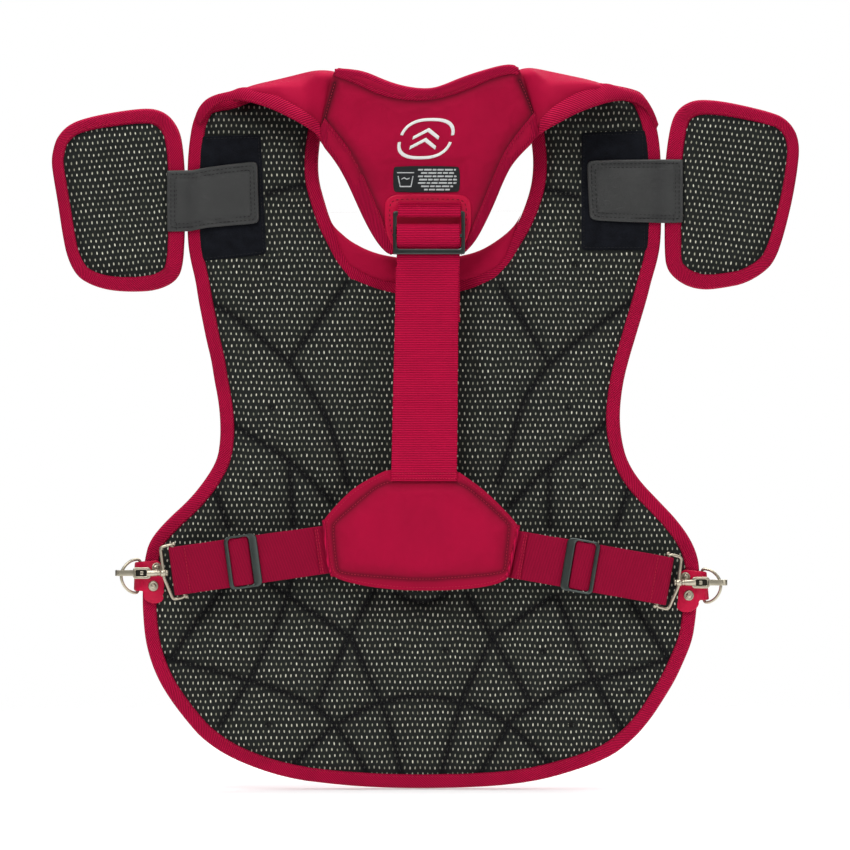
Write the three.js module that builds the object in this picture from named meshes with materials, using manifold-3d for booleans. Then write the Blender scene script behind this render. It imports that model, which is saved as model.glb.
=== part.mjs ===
// Catcher's chest protector: quilted body panel, shoulder yoke, back harness and two
// upper-arm pads. Millimetres, +Z up. The wearer stands on the -Y side of the panel, facing
// +Y, with left at -X. The harness passes behind the wearer's back, so it lies further out
// on -Y. The origin is the bottom centre of the whole object.
import * as THREE from "three";
import { mergeVertices } from "three/addons/utils/BufferGeometryUtils.js";
import Module from "manifold-3d";

// ---------------------------------------------------------------- shared dimensions
const GRID_STEP = 36; // facet size of the curved cloth layers
const LAYER_GAP = 0.3;
const BIND_WALL = 1.2; // thickness of the folded binding tape
const BIND_FLANGE = 11; // width of tape seen on each face
const COATED_THICK = 1.4; // coated fabric of the ring tabs
const TAB_CLEAR = 1.6; // ring tab to the tape under it
const SWIVEL_TO_WIRE = 8.5; // swivel axis to the D-ring wire it holds

// ---------------------------------------------------------------- materials
const material = (settings) => new THREE.MeshStandardMaterial(settings);
const CRIMSON = material({ color: 0xa61236, roughness: 0.85 });
const TWILL = material({ color: 0x9c1030, roughness: 0.9 });
const COATED_RED = material({ color: 0xb8163c, roughness: 0.5 });
const MESH_CLOTH = material({ color: 0x2a2d2a, roughness: 0.95 });
const FOAM = material({ color: 0xd8d4c4, roughness: 0.95 });
const CHARCOAL = material({ color: 0x35383a, roughness: 0.9 });
const LOOP_PILE = material({ color: 0x0e1014, roughness: 1 });
const SYNTHETIC_LEATHER = material({ color: 0x404040, roughness: 0.55 });
const LABEL = material({ color: 0x15191c, roughness: 0.7 });
const GUNMETAL = material({ color: 0x5f6964, roughness: 0.35, metalness: 0.9 });
const NICKEL = material({ color: 0xbeb9a0, roughness: 0.25, metalness: 1 });

// ---------------------------------------------------------------- solid tools
const wasm = await Module();
wasm.setup();

function toSolid(source) {
  const bare = source.clone();
  bare.deleteAttribute("normal");
  bare.deleteAttribute("uv");
  const merged = mergeVertices(bare, 1e-4);
  return new wasm.Manifold(
    new wasm.Mesh({
      numProp: 3,
      vertProperties: new Float32Array(merged.attributes.position.array),
      triVerts: new Uint32Array(merged.index.array),
    }),
  );
}

function toGeometry(solid) {
  const mesh = solid.getMesh();
  const geometry = new THREE.BufferGeometry();
  const position = new Float32Array(mesh.vertProperties);
  geometry.setAttribute("position", new THREE.BufferAttribute(position, 3));
  geometry.setIndex(new THREE.BufferAttribute(new Uint32Array(mesh.triVerts), 1));
  geometry.computeVertexNormals();
  return geometry;
}

// A solid from flat lists of coordinates and corner numbers.
function facetSolid(spots, faces) {
  const geometry = new THREE.BufferGeometry();
  geometry.setAttribute("position", new THREE.BufferAttribute(new Float32Array(spots), 3));
  geometry.setIndex(faces);
  return toSolid(geometry);
}

const pushQuad = (faces, a, b, c, d) => faces.push(a, b, c, a, c, d);
const union = (...solids) => solids.reduce((a, b) => a.add(b));
const largest = (solids) => solids.sort((a, b) => b.volume() - a.volume())[0];

function extrude(outline, depth) {
  const shape = new THREE.Shape(outline.map(([u, v]) => new THREE.Vector2(u, v)));
  return new THREE.ExtrudeGeometry(shape, { depth, bevelEnabled: false });
}

// A prism whose outline lies in x-z, deep enough in y to cut through everything.
function prism(outline) {
  const reach = 150;
  const geometry = extrude(outline, 2 * reach);
  geometry.rotateX(Math.PI / 2);
  geometry.translate(0, reach, 0);
  return toSolid(geometry);
}

// A prism whose profile lies in x-y, from z0 to z1.
function upright(profile, z0, z1) {
  const geometry = extrude(profile, z1 - z0);
  geometry.translate(0, 0, z0);
  return toSolid(geometry);
}

// A prism whose profile lies in y-z, from x0 to x1.
function crosswise(profile, x0, x1) {
  const geometry = extrude(profile, x1 - x0);
  const turn = new THREE.Matrix4().set(0, 0, 1, x0, 1, 0, 0, 0, 0, 1, 0, 0, 0, 0, 0, 1);
  geometry.applyMatrix4(turn);
  return toSolid(geometry);
}

function box(x0, x1, y0, y1, z0, z1) {
  const geometry = new THREE.BoxGeometry(x1 - x0, y1 - y0, z1 - z0);
  geometry.translate((x0 + x1) / 2, (y0 + y1) / 2, (z0 + z1) / 2);
  return toSolid(geometry);
}

// A round bar between two points.
function rod(start, end, radius, sides = 8) {
  const from = new THREE.Vector3(...start);
  const to = new THREE.Vector3(...end);
  const geometry = new THREE.CylinderGeometry(radius, radius, from.distanceTo(to), sides, 1);
  const turn = new THREE.Quaternion().setFromUnitVectors(
    new THREE.Vector3(0, 1, 0),
    to.clone().sub(from).normalize(),
  );
  geometry.applyQuaternion(turn);
  geometry.translate(...from.clone().add(to).multiplyScalar(0.5).toArray());
  return toSolid(geometry);
}

// Closed ring of bent wire through points in one plane, mitred at each bend.
function wireLoop(points, planeNormal, radius, sides = 6) {
  const count = points.length;
  const path = points.map((point) => new THREE.Vector3(...point));
  const up = new THREE.Vector3(...planeNormal).normalize();
  const spots = [];
  const faces = [];
  for (let i = 0; i < count; i++) {
    const next = (i + 1) % count;
    const into = path[i].clone().sub(path[(i + count - 1) % count]).normalize();
    const away = path[next].clone().sub(path[i]).normalize();
    const run = into.clone().add(away).normalize();
    const across = run.clone().cross(up).normalize();
    const mitre = 1 / Math.max(0.5, run.dot(away));
    for (let j = 0; j < sides; j++) {
      const angle = (2 * Math.PI * (j + 0.5)) / sides;
      const spot = path[i].clone()
        .addScaledVector(across, radius * mitre * Math.cos(angle))
        .addScaledVector(up, radius * Math.sin(angle));
      spots.push(...spot.toArray());
      const beside = (j + 1) % sides;
      pushQuad(
        faces,
        i * sides + j, next * sides + j, next * sides + beside, i * sides + beside,
      );
    }
  }
  const solid = facetSolid(spots, faces);
  if (solid.volume() > 0) return solid;
  // The points ran the other way round, so the faces are turned over.
  for (let i = 0; i < faces.length; i += 3) {
    [faces[i + 1], faces[i + 2]] = [faces[i + 2], faces[i + 1]];
  }
  return facetSolid(spots, faces);
}

// ---------------------------------------------------------------- outline tools
// Points on a circular arc; angles in degrees.
function arc(u, v, radius, start, end, steps) {
  return Array.from({ length: steps + 1 }, (_, i) => {
    const angle = THREE.MathUtils.degToRad(start + ((end - start) * i) / steps);
    return [u + radius * Math.cos(angle), v + radius * Math.sin(angle)];
  });
}

function area(outline) {
  let twice = 0;
  outline.forEach(([x, z], i) => {
    const [nextX, nextZ] = outline[(i + 1) % outline.length];
    twice += x * nextZ - nextX * z;
  });
  return twice / 2;
}

// Where two sides cross, the smaller loop is dropped.
function untangle(outline) {
  const count = outline.length;
  for (let i = 0; i < count; i++) {
    const [ax, az] = outline[i];
    const [bx, bz] = outline[(i + 1) % count];
    for (let j = i + 2; j < count; j++) {
      if (i === 0 && j === count - 1) continue;
      const [cx, cz] = outline[j];
      const [dx, dz] = outline[(j + 1) % count];
      const denominator = (bx - ax) * (dz - cz) - (bz - az) * (dx - cx);
      if (Math.abs(denominator) < 1e-12) continue;
      const alongFirst = ((cx - ax) * (dz - cz) - (cz - az) * (dx - cx)) / denominator;
      const alongSecond = ((cx - ax) * (bz - az) - (cz - az) * (bx - ax)) / denominator;
      if (alongFirst < 0 || alongFirst > 1 || alongSecond < 0 || alongSecond > 1) continue;
      const crossing = [ax + alongFirst * (bx - ax), az + alongFirst * (bz - az)];
      const one = [crossing, ...outline.slice(i + 1, j + 1)];
      const two = [crossing, ...outline.slice(j + 1), ...outline.slice(0, i + 1)];
      return untangle(Math.abs(area(one)) > Math.abs(area(two)) ? one : two);
    }
  }
  return outline;
}

function insetOnce(outline, distance) {
  const turn = area(outline) > 0 ? 1 : -1;
  const count = outline.length;
  // Inward unit normal of the side between two points.
  const normal = ([ax, az], [bx, bz]) => {
    const length = Math.hypot(bx - ax, bz - az) || 1;
    return [(-(bz - az) / length) * turn, ((bx - ax) / length) * turn];
  };
  const moved = [];
  outline.forEach((point, i) => {
    const before = normal(outline[(i + count - 1) % count], point);
    const after = normal(point, outline[(i + 1) % count]);
    const spread = Math.max(0.45, 1 + before[0] * after[0] + before[1] * after[1]);
    const corner = point.map((v, axis) => v + ((before[axis] + after[axis]) / spread) * distance);
    const last = moved[moved.length - 1];
    if (last && Math.hypot(corner[0] - last[0], corner[1] - last[1]) < 0.25) return;
    moved.push(corner);
  });
  return untangle(moved);
}

// The outline moved inwards in short steps; a negative distance moves it outwards.
function inset(outline, distance) {
  const steps = Math.max(1, Math.ceil(Math.abs(distance) / 1.5));
  let moved = outline;
  for (let i = 0; i < steps; i++) moved = insetOnce(moved, distance / steps);
  return moved;
}

// ---------------------------------------------------------------- layer tools
// The outline's prism kept between two surfaces y = low(x, z) and y = high(x, z),
// faceted on a grid that all layers of one step share.
function layer(outline, low, high, step = GRID_STEP) {
  const margin = 2;
  const gridStart = (values) => Math.floor((Math.min(...values) - margin) / step) * step;
  const gridEnd = (values) => Math.ceil((Math.max(...values) + margin) / step) * step;
  const xs = outline.map(([x]) => x);
  const zs = outline.map(([, z]) => z);
  const x0 = gridStart(xs);
  const z0 = gridStart(zs);
  const columns = Math.round((gridEnd(xs) - x0) / step);
  const rows = Math.round((gridEnd(zs) - z0) / step);
  const spots = [];
  for (const surface of [low, high]) {
    for (let j = 0; j <= rows; j++) {
      for (let i = 0; i <= columns; i++) {
        const x = x0 + i * step;
        const z = z0 + j * step;
        spots.push(x, surface(x, z), z);
      }
    }
  }
  const lowAt = (i, j) => j * (columns + 1) + i;
  const highAt = (i, j) => (rows + 1) * (columns + 1) + lowAt(i, j);
  const faces = [];
  const quad = (...corners) => pushQuad(faces, ...corners);
  for (let j = 0; j < rows; j++) {
    for (let i = 0; i < columns; i++) {
      quad(lowAt(i, j), lowAt(i + 1, j), lowAt(i + 1, j + 1), lowAt(i, j + 1));
      quad(highAt(i + 1, j + 1), highAt(i + 1, j), highAt(i, j), highAt(i, j + 1));
    }
  }
  for (let j = 0; j < rows; j++) {
    const end = columns;
    quad(lowAt(0, j), lowAt(0, j + 1), highAt(0, j + 1), highAt(0, j));
    quad(highAt(end, j + 1), lowAt(end, j + 1), lowAt(end, j), highAt(end, j));
  }
  for (let i = 0; i < columns; i++) {
    quad(lowAt(i, 0), highAt(i, 0), highAt(i + 1, 0), lowAt(i + 1, 0));
    quad(highAt(i + 1, rows), highAt(i, rows), lowAt(i, rows), lowAt(i + 1, rows));
  }
  return prism(outline).intersect(facetSolid(spots, faces));
}

const offset = (surface, distance) => (x, z) => surface(x, z) + distance;

// A layer between two offsets from one surface.
const sheet = (outline, surface, from, to, step) =>
  layer(outline, offset(surface, from), offset(surface, to), step);

// Folded binding tape around an outline: a wall along the edge, a flange on each face.
function binding(outline, low, high, options = {}) {
  const { gap = LAYER_GAP, faceThick = BIND_WALL, flange = BIND_FLANGE, step } = options;
  const outside = gap + faceThick;
  const outer = layer(outline, offset(low, -outside), offset(high, outside), step);
  const pocketOutline = inset(outline, BIND_WALL);
  const pocket = layer(pocketOutline, offset(low, -gap), offset(high, gap), step);
  return outer.subtract(pocket).subtract(prism(inset(outline, flange)));
}

// ---------------------------------------------------------------- group
const protector = new THREE.Group();
protector.name = "chest_protector";

function add(name, solid, look, parent = protector) {
  const mesh = new THREE.Mesh(toGeometry(solid), look);
  mesh.name = name;
  parent.add(mesh);
}

// ---------------------------------------------------------------- left and right
// Every outline and place is [x, z]. The two sides differ a little.
const SIDES = [
  {
    name: "left",
    sign: -1, // direction of this side along x
    tab: [
      [-231.68, 182.4], [-213.6, 184.16], [-208.4, 179.2], [-204.4, 170.4], [-203.6, 161.6],
      [-206.4, 154.4], [-212, 149.92], [-217.6, 149.36], [-222.88, 152], [-224.32, 155.2],
      [-224.32, 159.68], [-232.48, 159.68],
    ],
    foldX: -232.08, // outermost x of the ring tab
    ringZ: 171.12,
    rivets: [[-216.8, 163.6], [-214, 178.08]],
    hookZ: 174, // height of the swivel axis
    crownX: -242.08, // crown of the D-ring's bow
    frameBar: [-196.4, 176],
    frameTilt: 13.9, // degrees
    eyeX: -208.48, // swivel eye of the hook frame
    strapStart: [-82.72, 192],
    sliderX: -146.24,
    loopPatch: [[-178, 521.6], [-132.4, 525.2], [-128.4, 430.4], [-175.2, 424]],
    shoulderPad: [
      [-74, 576.48], [-88.8, 576], [-121.6, 568.16], [-146.4, 562.56], [-156, 558.08],
      [-168, 556.48], [-175.2, 553.92], [-180, 550.4], [-182.4, 545.6], [-180, 536],
      [-175.2, 534.4], [-168.8, 541.6], [-157.6, 544], [-138.08, 541.6], [-118.48, 533.36],
      [-100, 524.8], [-85.2, 518.4], [-82.8, 536], [-78.8, 555.2],
    ],
    armTab: [
      [-188.8, 495.2], [-178.4, 498.08], [-137.2, 502.88], [-134.56, 500.4],
      [-133.12, 456.96], [-135.2, 454.4], [-185.6, 447.52], [-188.8, 447.36],
    ],
    hookStripX: [-176.8, -136.8],
    armPad: [
      [-298.4, 502.4], [-296.8, 512.8], [-293.6, 522.4], [-284.8, 532], [-271.2, 537.6],
      [-246.8, 542.88], [-223.52, 545.92], [-212.48, 544.4], [-204, 539.2], [-197.6, 530],
      [-194.4, 519.2], [-192.32, 496], [-192.16, 472], [-192.32, 445.6], [-194, 417.6],
      [-200.24, 406.4], [-215.2, 399.6], [-234.4, 398.4], [-252.8, 399.6], [-267.6, 404],
      [-278.64, 411.2], [-285.92, 425.92], [-289.6, 444.32], [-293.28, 470], [-296.4, 488],
    ],
  },
  {
    name: "right",
    sign: 1,
    tab: [
      [224.8, 174.72], [207.2, 176.8], [202, 172], [197.6, 163.2], [196.8, 154.4],
      [199.2, 147.2], [204.8, 142.88], [210.4, 142.4], [216, 145.12], [218.4, 148.32],
      [218.4, 152.32], [226.88, 152.32],
    ],
    foldX: 225.84,
    ringZ: 163.44,
    rivets: [[210.56, 156], [207.76, 170.4]],
    hookZ: 166.4,
    crownX: 236.24,
    frameBar: [189.76, 168.16],
    frameTilt: 14.2,
    eyeX: 202.4,
    strapStart: [75.68, 188],
    sliderX: 124.8,
    loopPatch: [[126, 526.4], [178, 528.4], [178, 432], [126, 432]],
    shoulderPad: [
      [77.44, 577.2], [84.8, 577.76], [110.4, 572], [143.2, 568], [150.4, 564.96],
      [167.2, 562.88], [174.4, 559.68], [180, 549.6], [184, 537.6], [180, 535.2],
      [172, 543.2], [159.2, 544.8], [140, 541.6], [122.4, 534.8], [102.4, 524],
      [92.4, 519.2], [90.8, 536], [84.48, 555.2],
    ],
    armTab: [
      [130, 501.6], [132, 503.84], [149.6, 504.48], [188.16, 504.64],
      [188.16, 454.24], [140.48, 455.52], [132.8, 456.64], [130.88, 460],
    ],
    hookStripX: [133.6, 176.8],
    armPad: [
      [192, 496], [194.4, 519.2], [198.08, 537.6], [204, 546.4], [212.8, 551.44],
      [222.4, 552.8], [238.4, 551.2], [256.8, 547.2], [275.2, 542.4], [287.2, 537.6],
      [296, 527.2], [299.2, 513.6], [297.2, 494.4], [293.6, 472.8], [287.2, 445.6],
      [281.28, 427.2], [274, 416], [256.8, 405.12], [238.4, 401.6], [223.76, 400],
      [210.4, 402.72], [199.2, 410], [193.2, 418.64], [192, 432], [192, 454.4],
    ],
  },
];

// ---------------------------------------------------------------- panel surfaces
const PANEL_HALF_WIDTH = 225; // half width of the quilted panel at the waist
const PANEL_WRAP = 38; // how far the side edges curl towards the wearer
const PANEL_WRAP_TOP = 20; // the same at shoulder height
const PANEL_WRAP_POWER = 2.2;
const WRAP_CHANGE = { z: 300, height: 150 }; // where one wrap blends into the other
const PANEL_THICK = 17; // padding thickness on the centre line
const PANEL_EDGE_LOSS = 8.5; // thickness lost towards the side edges
const HEM_CURL = { below: 110, depth: 8 }; // bottom edge bends towards the wearer
const HEM_THINNING = { below: 80, loss: 5 };
const TOP_THINNING = { above: 480, height: 90, loss: 4 };

const smooth = (value) => {
  const t = Math.min(1, Math.max(0, value));
  return t * t * (3 - 2 * t);
};

// Wearer's side of the panel.
function innerY(x, z) {
  const top = smooth((z - WRAP_CHANGE.z) / WRAP_CHANGE.height);
  const wrap = PANEL_WRAP * (1 - top) + PANEL_WRAP_TOP * top;
  const hem = Math.max(0, (HEM_CURL.below - z) / HEM_CURL.below);
  const across = Math.pow(Math.abs(x) / PANEL_HALF_WIDTH, PANEL_WRAP_POWER);
  return -wrap * across - HEM_CURL.depth * hem * hem;
}

// Outer side of the panel.
function outerY(x, z) {
  const across = Math.min(1.1, Math.abs(x) / PANEL_HALF_WIDTH);
  const hem = Math.max(0, (HEM_THINNING.below - z) / HEM_THINNING.below);
  const top = Math.max(0, (z - TOP_THINNING.above) / TOP_THINNING.height);
  const loss = PANEL_EDGE_LOSS * Math.pow(across, 3)
    + HEM_THINNING.loss * hem * hem + TOP_THINNING.loss * top * top;
  return innerY(x, z) + PANEL_THICK - loss;
}

// ---------------------------------------------------------------- tab rivets
const TAB_OFFSET = LAYER_GAP + BIND_WALL + TAB_CLEAR; // panel face to ring tab
const RIVET = { holeRadius: 2, shankRadius: 1.6, headRadius: 4, headThick: 1.3, clear: 0.5 };

// Each rivet stands square to the panel: a point at a distance along its axis, and
// the distance from its middle to the underside of a head.
function rivetAxes(side) {
  return side.rivets.map(([x, z]) => {
    const slope = Math.atan2(innerY(x + 4, z) - innerY(x - 4, z), 8);
    const towardsWearer = [Math.sin(slope), -Math.cos(slope), 0];
    const middle = [x, (innerY(x, z) + outerY(x, z)) / 2, z];
    const at = (distance) => middle.map((v, axis) => v + towardsWearer[axis] * distance);
    const halfPanel = ((outerY(x, z) - innerY(x, z)) / 2) * Math.cos(slope);
    return { at, half: halfPanel + TAB_OFFSET + COATED_THICK + RIVET.clear };
  });
}

const rivetHoles = union(
  ...SIDES.flatMap(rivetAxes).map(({ at }) => rod(at(-40), at(40), RIVET.holeRadius, 10)),
);

// ---------------------------------------------------------------- body panel
// Edge of the panel, [x, z], from the left shoulder over the neck and round the waist.
const PANEL_OUTLINE = [
  [-182.4, 544], [-177.6, 551.2], [-167.2, 554.4], [-155.2, 556], [-145.6, 560.8],
  [-120.8, 566.4], [-88.8, 573.6], [-73.6, 575.2], [-78.4, 552], [-84, 523.2], [-86, 504],
  [-85.2, 488], [-80.8, 472], [-75.6, 455.2], [-67.2, 440], [-57.6, 425.6],
  [-42.4, 415.6], [-24, 409.6], [-1.6, 408], [21.6, 409.6], [40, 415.6], [53.6, 424.8],
  [64, 437.6], [74.4, 453.6], [80.8, 468.8], [85.6, 484.8], [87.2, 502.4], [85.6, 519.2],
  [81.6, 548], [76.8, 576], [85.6, 576], [110.4, 570.4], [143.2, 566.4], [167.2, 561.6],
  [175.2, 557.6], [180.8, 546.4], [185.6, 532], [188, 518.4], [189.2, 502.4],
  [189.6, 472], [189.2, 440], [186.4, 424], [181.6, 408], [177.6, 392], [172.8, 376],
  [168, 360], [163.2, 344], [159.2, 328], [156.8, 312], [156, 296], [157.6, 280],
  [161.6, 264], [171.2, 248], [186.4, 232], [201.6, 216], [212.8, 200], [218.8, 184],
  [219.2, 168], [217.6, 152], [216, 136], [213.6, 120], [207.2, 104], [200, 88],
  [190.4, 72], [180, 56], [166.4, 40], [145.6, 24], [100.8, 8.8], [66.4, 3.2],
  [34.4, 1.12], [0, 0.48], [-34.4, 0.96], [-68, 3.2], [-112, 8.8], [-153.6, 24],
  [-177.6, 40], [-191.2, 56], [-203.2, 72], [-212.8, 88], [-219.2, 104], [-223.2, 120],
  [-224.8, 136], [-225.6, 152], [-225.2, 168], [-224, 184], [-220, 200], [-206.4, 216],
  [-188.8, 232], [-176, 248], [-166.4, 264], [-164, 280], [-164, 296], [-165.6, 312],
  [-168.8, 328], [-171.2, 344], [-175.2, 360], [-178.4, 376], [-181.6, 392], [-184, 408],
  [-188, 424], [-190.4, 440], [-190.8, 472], [-190.4, 502.4], [-188.8, 520],
  [-186.4, 534.4],
];
const LINING_THICK = 1.8;
const COVER_THICK = 3.2;

// Square flat standing proud of the cover at the sternum.
const FLAT = { size: 44, z: 288, sunk: 2, proud: 2.2 };

function addPanelCloth() {
  const outline = inset(PANEL_OUTLINE, BIND_WALL + LAYER_GAP);
  const lining = sheet(outline, innerY, 0, LINING_THICK).subtract(rivetHoles);
  add("mesh_lining", lining, MESH_CLOTH);
  const half = FLAT.size / 2;
  const faceY = outerY(0, FLAT.z);
  const flat = box(
    -half, half, faceY - FLAT.sunk, faceY + FLAT.proud, FLAT.z - half, FLAT.z + half,
  );
  const cover = sheet(outline, outerY, -COVER_THICK, 0).subtract(rivetHoles).add(flat);
  add("outer_cover", cover, CRIMSON);
}

// Foam blocks fill the space between lining and cover, parted under the quilting seams.
const FOAM_INSET = 17;
const FOAM_GAP = 2.4; // channel between foam blocks
const FOAM_SEAMS = {
  upper_left: [
    [-52, 416], [-62.64, 405.6], [-109.6, 343.2], [-170.8, 390], [-220, 427.2],
    [-220, 600], [0, 600], [0, 416],
  ],
  upper_right: [
    [49.6, 416], [60, 404.8], [100.8, 340.8], [159.6, 383.2], [220, 427.2],
    [220, 600], [0, 600], [0, 416],
  ],
  centre: [
    [-62.64, 406.4], [-109.6, 343.2], [-88, 317.6], [-73.6, 287.2], [-63.2, 247.2],
    [-58.4, 216], [-52, 184], [-41.6, 156.8], [-61.12, 121.12], [-47.2, 94.4],
    [-33.6, 69.6], [0.8, 74.4], [25.6, 70.4], [30.4, 74.4], [53.6, 121.6], [33.6, 156.8],
    [47.2, 184], [52, 216], [52.8, 247.2], [69.6, 280], [77.6, 312], [100.8, 340.8],
    [60, 404], [21.6, 422.4], [-24, 422.4],
  ],
  lower: [
    [-244, 110.4], [-206.4, 104.8], [-178.4, 100.8], [-139.52, 87.68], [-101.6, 72],
    [-71.2, 53.2], [-33.6, 69.6], [0.8, 74.4], [45.6, 64], [66.4, 52], [96, 69.6],
    [136.8, 88], [168, 96], [195.2, 104], [244, 112], [244, -32], [-244, -32],
  ],
};

function addPanelFoam() {
  const whole = layer(
    inset(PANEL_OUTLINE, FOAM_INSET),
    offset(innerY, LINING_THICK + LAYER_GAP),
    offset(outerY, -COVER_THICK - LAYER_GAP),
  );
  const addBlock = (name) => {
    const block = whole.intersect(prism(inset(FOAM_SEAMS[name], FOAM_GAP / 2)));
    add(`foam_${name}`, largest(block.decompose()), FOAM);
  };
  ["upper_left", "upper_right", "centre"].forEach(addBlock);
  // The side blocks are what the other blocks leave over.
  const rest = Object.values(FOAM_SEAMS).reduce(
    (left, seam) => left.subtract(prism(inset(seam, -FOAM_GAP / 2))),
    whole,
  );
  for (const { name, sign } of SIDES) {
    const onSide = rest.decompose().filter((solid) => {
      const bounds = solid.boundingBox();
      return sign * (bounds.min[0] + bounds.max[0]) > 0;
    });
    add(`foam_side_${name}`, largest(onSide), FOAM);
  }
  addBlock("lower");
}

// The tape is one ring, parted into a neck piece and an edge piece below BIND_TOP.
const BIND_TOP = 542.4;
const NECK_REGION = [
  [-103.2, 584], [-103.2, 452.8], [-60, 379.2], [60, 379.2], [102.4, 452.8], [102.4, 584],
];

function addPanelBinding() {
  const tape = binding(PANEL_OUTLINE, innerY, outerY);
  const edgeRegion = box(-400, 400, -150, 150, -50, BIND_TOP)
    .subtract(prism(inset(NECK_REGION, -0.3)));
  const neckRegion = prism(NECK_REGION).intersect(box(-200, 200, -150, 150, 300, BIND_TOP));
  const edge = tape.intersect(edgeRegion).subtract(rivetHoles);
  add("edge_binding", largest(edge.decompose()), TWILL);
  add("neck_binding", largest(tape.intersect(neckRegion).decompose()), TWILL);
}

// Crescent along the neck opening, [x, z]: lower edge of the tape, then back above it.
const COLLAR = [
  [-73.6, 452.8], [-66.4, 445.6], [-59.2, 439.2], [-43.2, 430.8], [-24, 426.4],
  [-0.8, 425.2], [22.4, 426.4], [42.4, 430.8], [57.6, 440], [72.8, 451.6], [62.8, 437.6],
  [52.4, 425.92], [39.2, 416.48], [20.8, 410.56], [-1.6, 408.88], [-23.2, 410.48],
  [-41.76, 416.56], [-56.8, 426.72], [-66.08, 440.8],
];

// Loop pile on the wearer's side of the panel, kept clear of the tape.
function addLoopPatches() {
  const insideTape = prism(inset(PANEL_OUTLINE, BIND_FLANGE + 0.6));
  for (const side of SIDES) {
    const pile = sheet(side.loopPatch, innerY, -1.5, -0.3).intersect(insideTape);
    add(`loop_patch_${side.name}`, pile, LOOP_PILE);
  }
}

addPanelCloth();
addPanelFoam();
addPanelBinding();
add("neck_collar", sheet(COLLAR, innerY, -3, 11), CRIMSON);
addLoopPatches();

// ---------------------------------------------------------------- ring tabs, rings
const TAB_REACH = 44; // fold to the tab's inboard ends
const FOLD_DEPTH = 9; // length of the rounded fold
const RING_WIRE = 1.2; // D-ring wire radius
const RING_HALF = 13.6; // half height of the D-ring, wire centres
const RING_DEPTH = 14.2; // straight bar to crown of the bow, wire centres
const RING_LEAN = 5; // crown of the bow towards -Y from the bar
const RING_TILT = 4.6; // degrees about Y
const RING_TO_TAB = 1.3; // ring bar to the inside of the fold

// Faces of the tab's two runs at the ring's height, and the centre of its fold.
function tabFold(side) {
  const low = (x) => innerY(x, side.ringZ) - TAB_OFFSET;
  const high = (x) => outerY(x, side.ringZ) + TAB_OFFSET;
  const x = side.foldX - side.sign * FOLD_DEPTH;
  return { low, high, x, y: (low(x) + high(x)) / 2, half: (high(x) - low(x)) / 2 };
}

const ringCrownY = (side) => tabFold(side).y - RING_LEAN;

// Coated fabric folded round the panel's edge.
function addRingTab(side) {
  const { sign, foldX, ringZ } = side;
  const fold = tabFold(side);
  const runX = Array.from(
    { length: 5 },
    (_, i) => foldX - sign * (TAB_REACH - ((TAB_REACH - FOLD_DEPTH) * i) / 4),
  );
  // Path round the fold; extra is the distance outside the fabric's inner face.
  const path = (extra) => {
    const points = runX.map((x) => [x, fold.low(x) - extra]);
    for (let i = 1; i < 8; i++) {
      const angle = (Math.PI * i) / 8;
      points.push([
        fold.x + sign * Math.sin(angle) * (FOLD_DEPTH - COATED_THICK + extra),
        fold.y - Math.cos(angle) * (fold.half + extra),
      ]);
    }
    points.push(...runX.map((x) => [x, fold.high(x) + extra]).reverse());
    return points;
  };
  const shell = upright([...path(COATED_THICK), ...path(0).reverse()], ringZ - 60, ringZ + 60);
  const tab = shell.intersect(prism(side.tab)).subtract(rivetHoles);
  add(`ring_tab_${side.name}`, tab, COATED_RED);
}

function addRivets(side) {
  rivetAxes(side).forEach(({ at, half }, i) => {
    const head = (end) =>
      rod(at(end * half), at(end * (half + RIVET.headThick)), RIVET.headRadius, 12);
    const shank = rod(at(-half - 1.2), at(half + 1.2), RIVET.shankRadius, 10);
    add(`ring_rivet_${side.name}_${i + 1}`, union(shank, head(1), head(-1)), NICKEL);
  });
}

// The D-ring stands on its straight bar inside the fold of the tab.
function addRing(side) {
  const { sign, foldX, ringZ } = side;
  const ring = new THREE.Group();
  const barX = foldX - sign * (COATED_THICK + RING_TO_TAB + RING_WIRE);
  ring.position.set(barX, tabFold(side).y, ringZ);
  ring.rotation.y = -THREE.MathUtils.degToRad(sign * RING_TILT);
  protector.add(ring);
  // Upper half of the bow: distance from the bar, height.
  const upper = [
    [0, RING_HALF], [4.6, RING_HALF - 0.3], [9, RING_HALF - 2.8], [12.6, RING_HALF - 7.4],
    [RING_DEPTH, 2.6],
  ];
  const lower = upper.map(([depth, height]) => [depth, -height]).reverse();
  const points = [...upper, ...lower].map(([depth, height]) => [
    sign * depth, (-RING_LEAN * depth) / RING_DEPTH, height,
  ]);
  const normal = new THREE.Vector3(sign * RING_DEPTH, -RING_LEAN, 0)
    .cross(new THREE.Vector3(0, 0, 1));
  add(`d_ring_${side.name}`, wireLoop(points, normal.toArray(), RING_WIRE), NICKEL, ring);
}

for (const side of SIDES) {
  addRingTab(side);
  addRivets(side);
  addRing(side);
}

// ---------------------------------------------------------------- yoke
const SHOULDER_AXIS_Y = -18; // fold line of the yoke over the shoulders
const YOKE_STEP = 24; // facet size of the yoke's layers

// Inner is the +Y side, against the wearer's back; outer is the -Y side.
const yokeInnerY = (x, z) =>
  SHOULDER_AXIS_Y - 0.9 - 9 * Math.pow(Math.max(0, (z - 430) / 130), 1.5);
const yokeThick = (z) => 3.8 + 7 * smooth((z - 472) / 50);
const yokeOuterY = (x, z) => yokeInnerY(x, z) - yokeThick(z);

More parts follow.
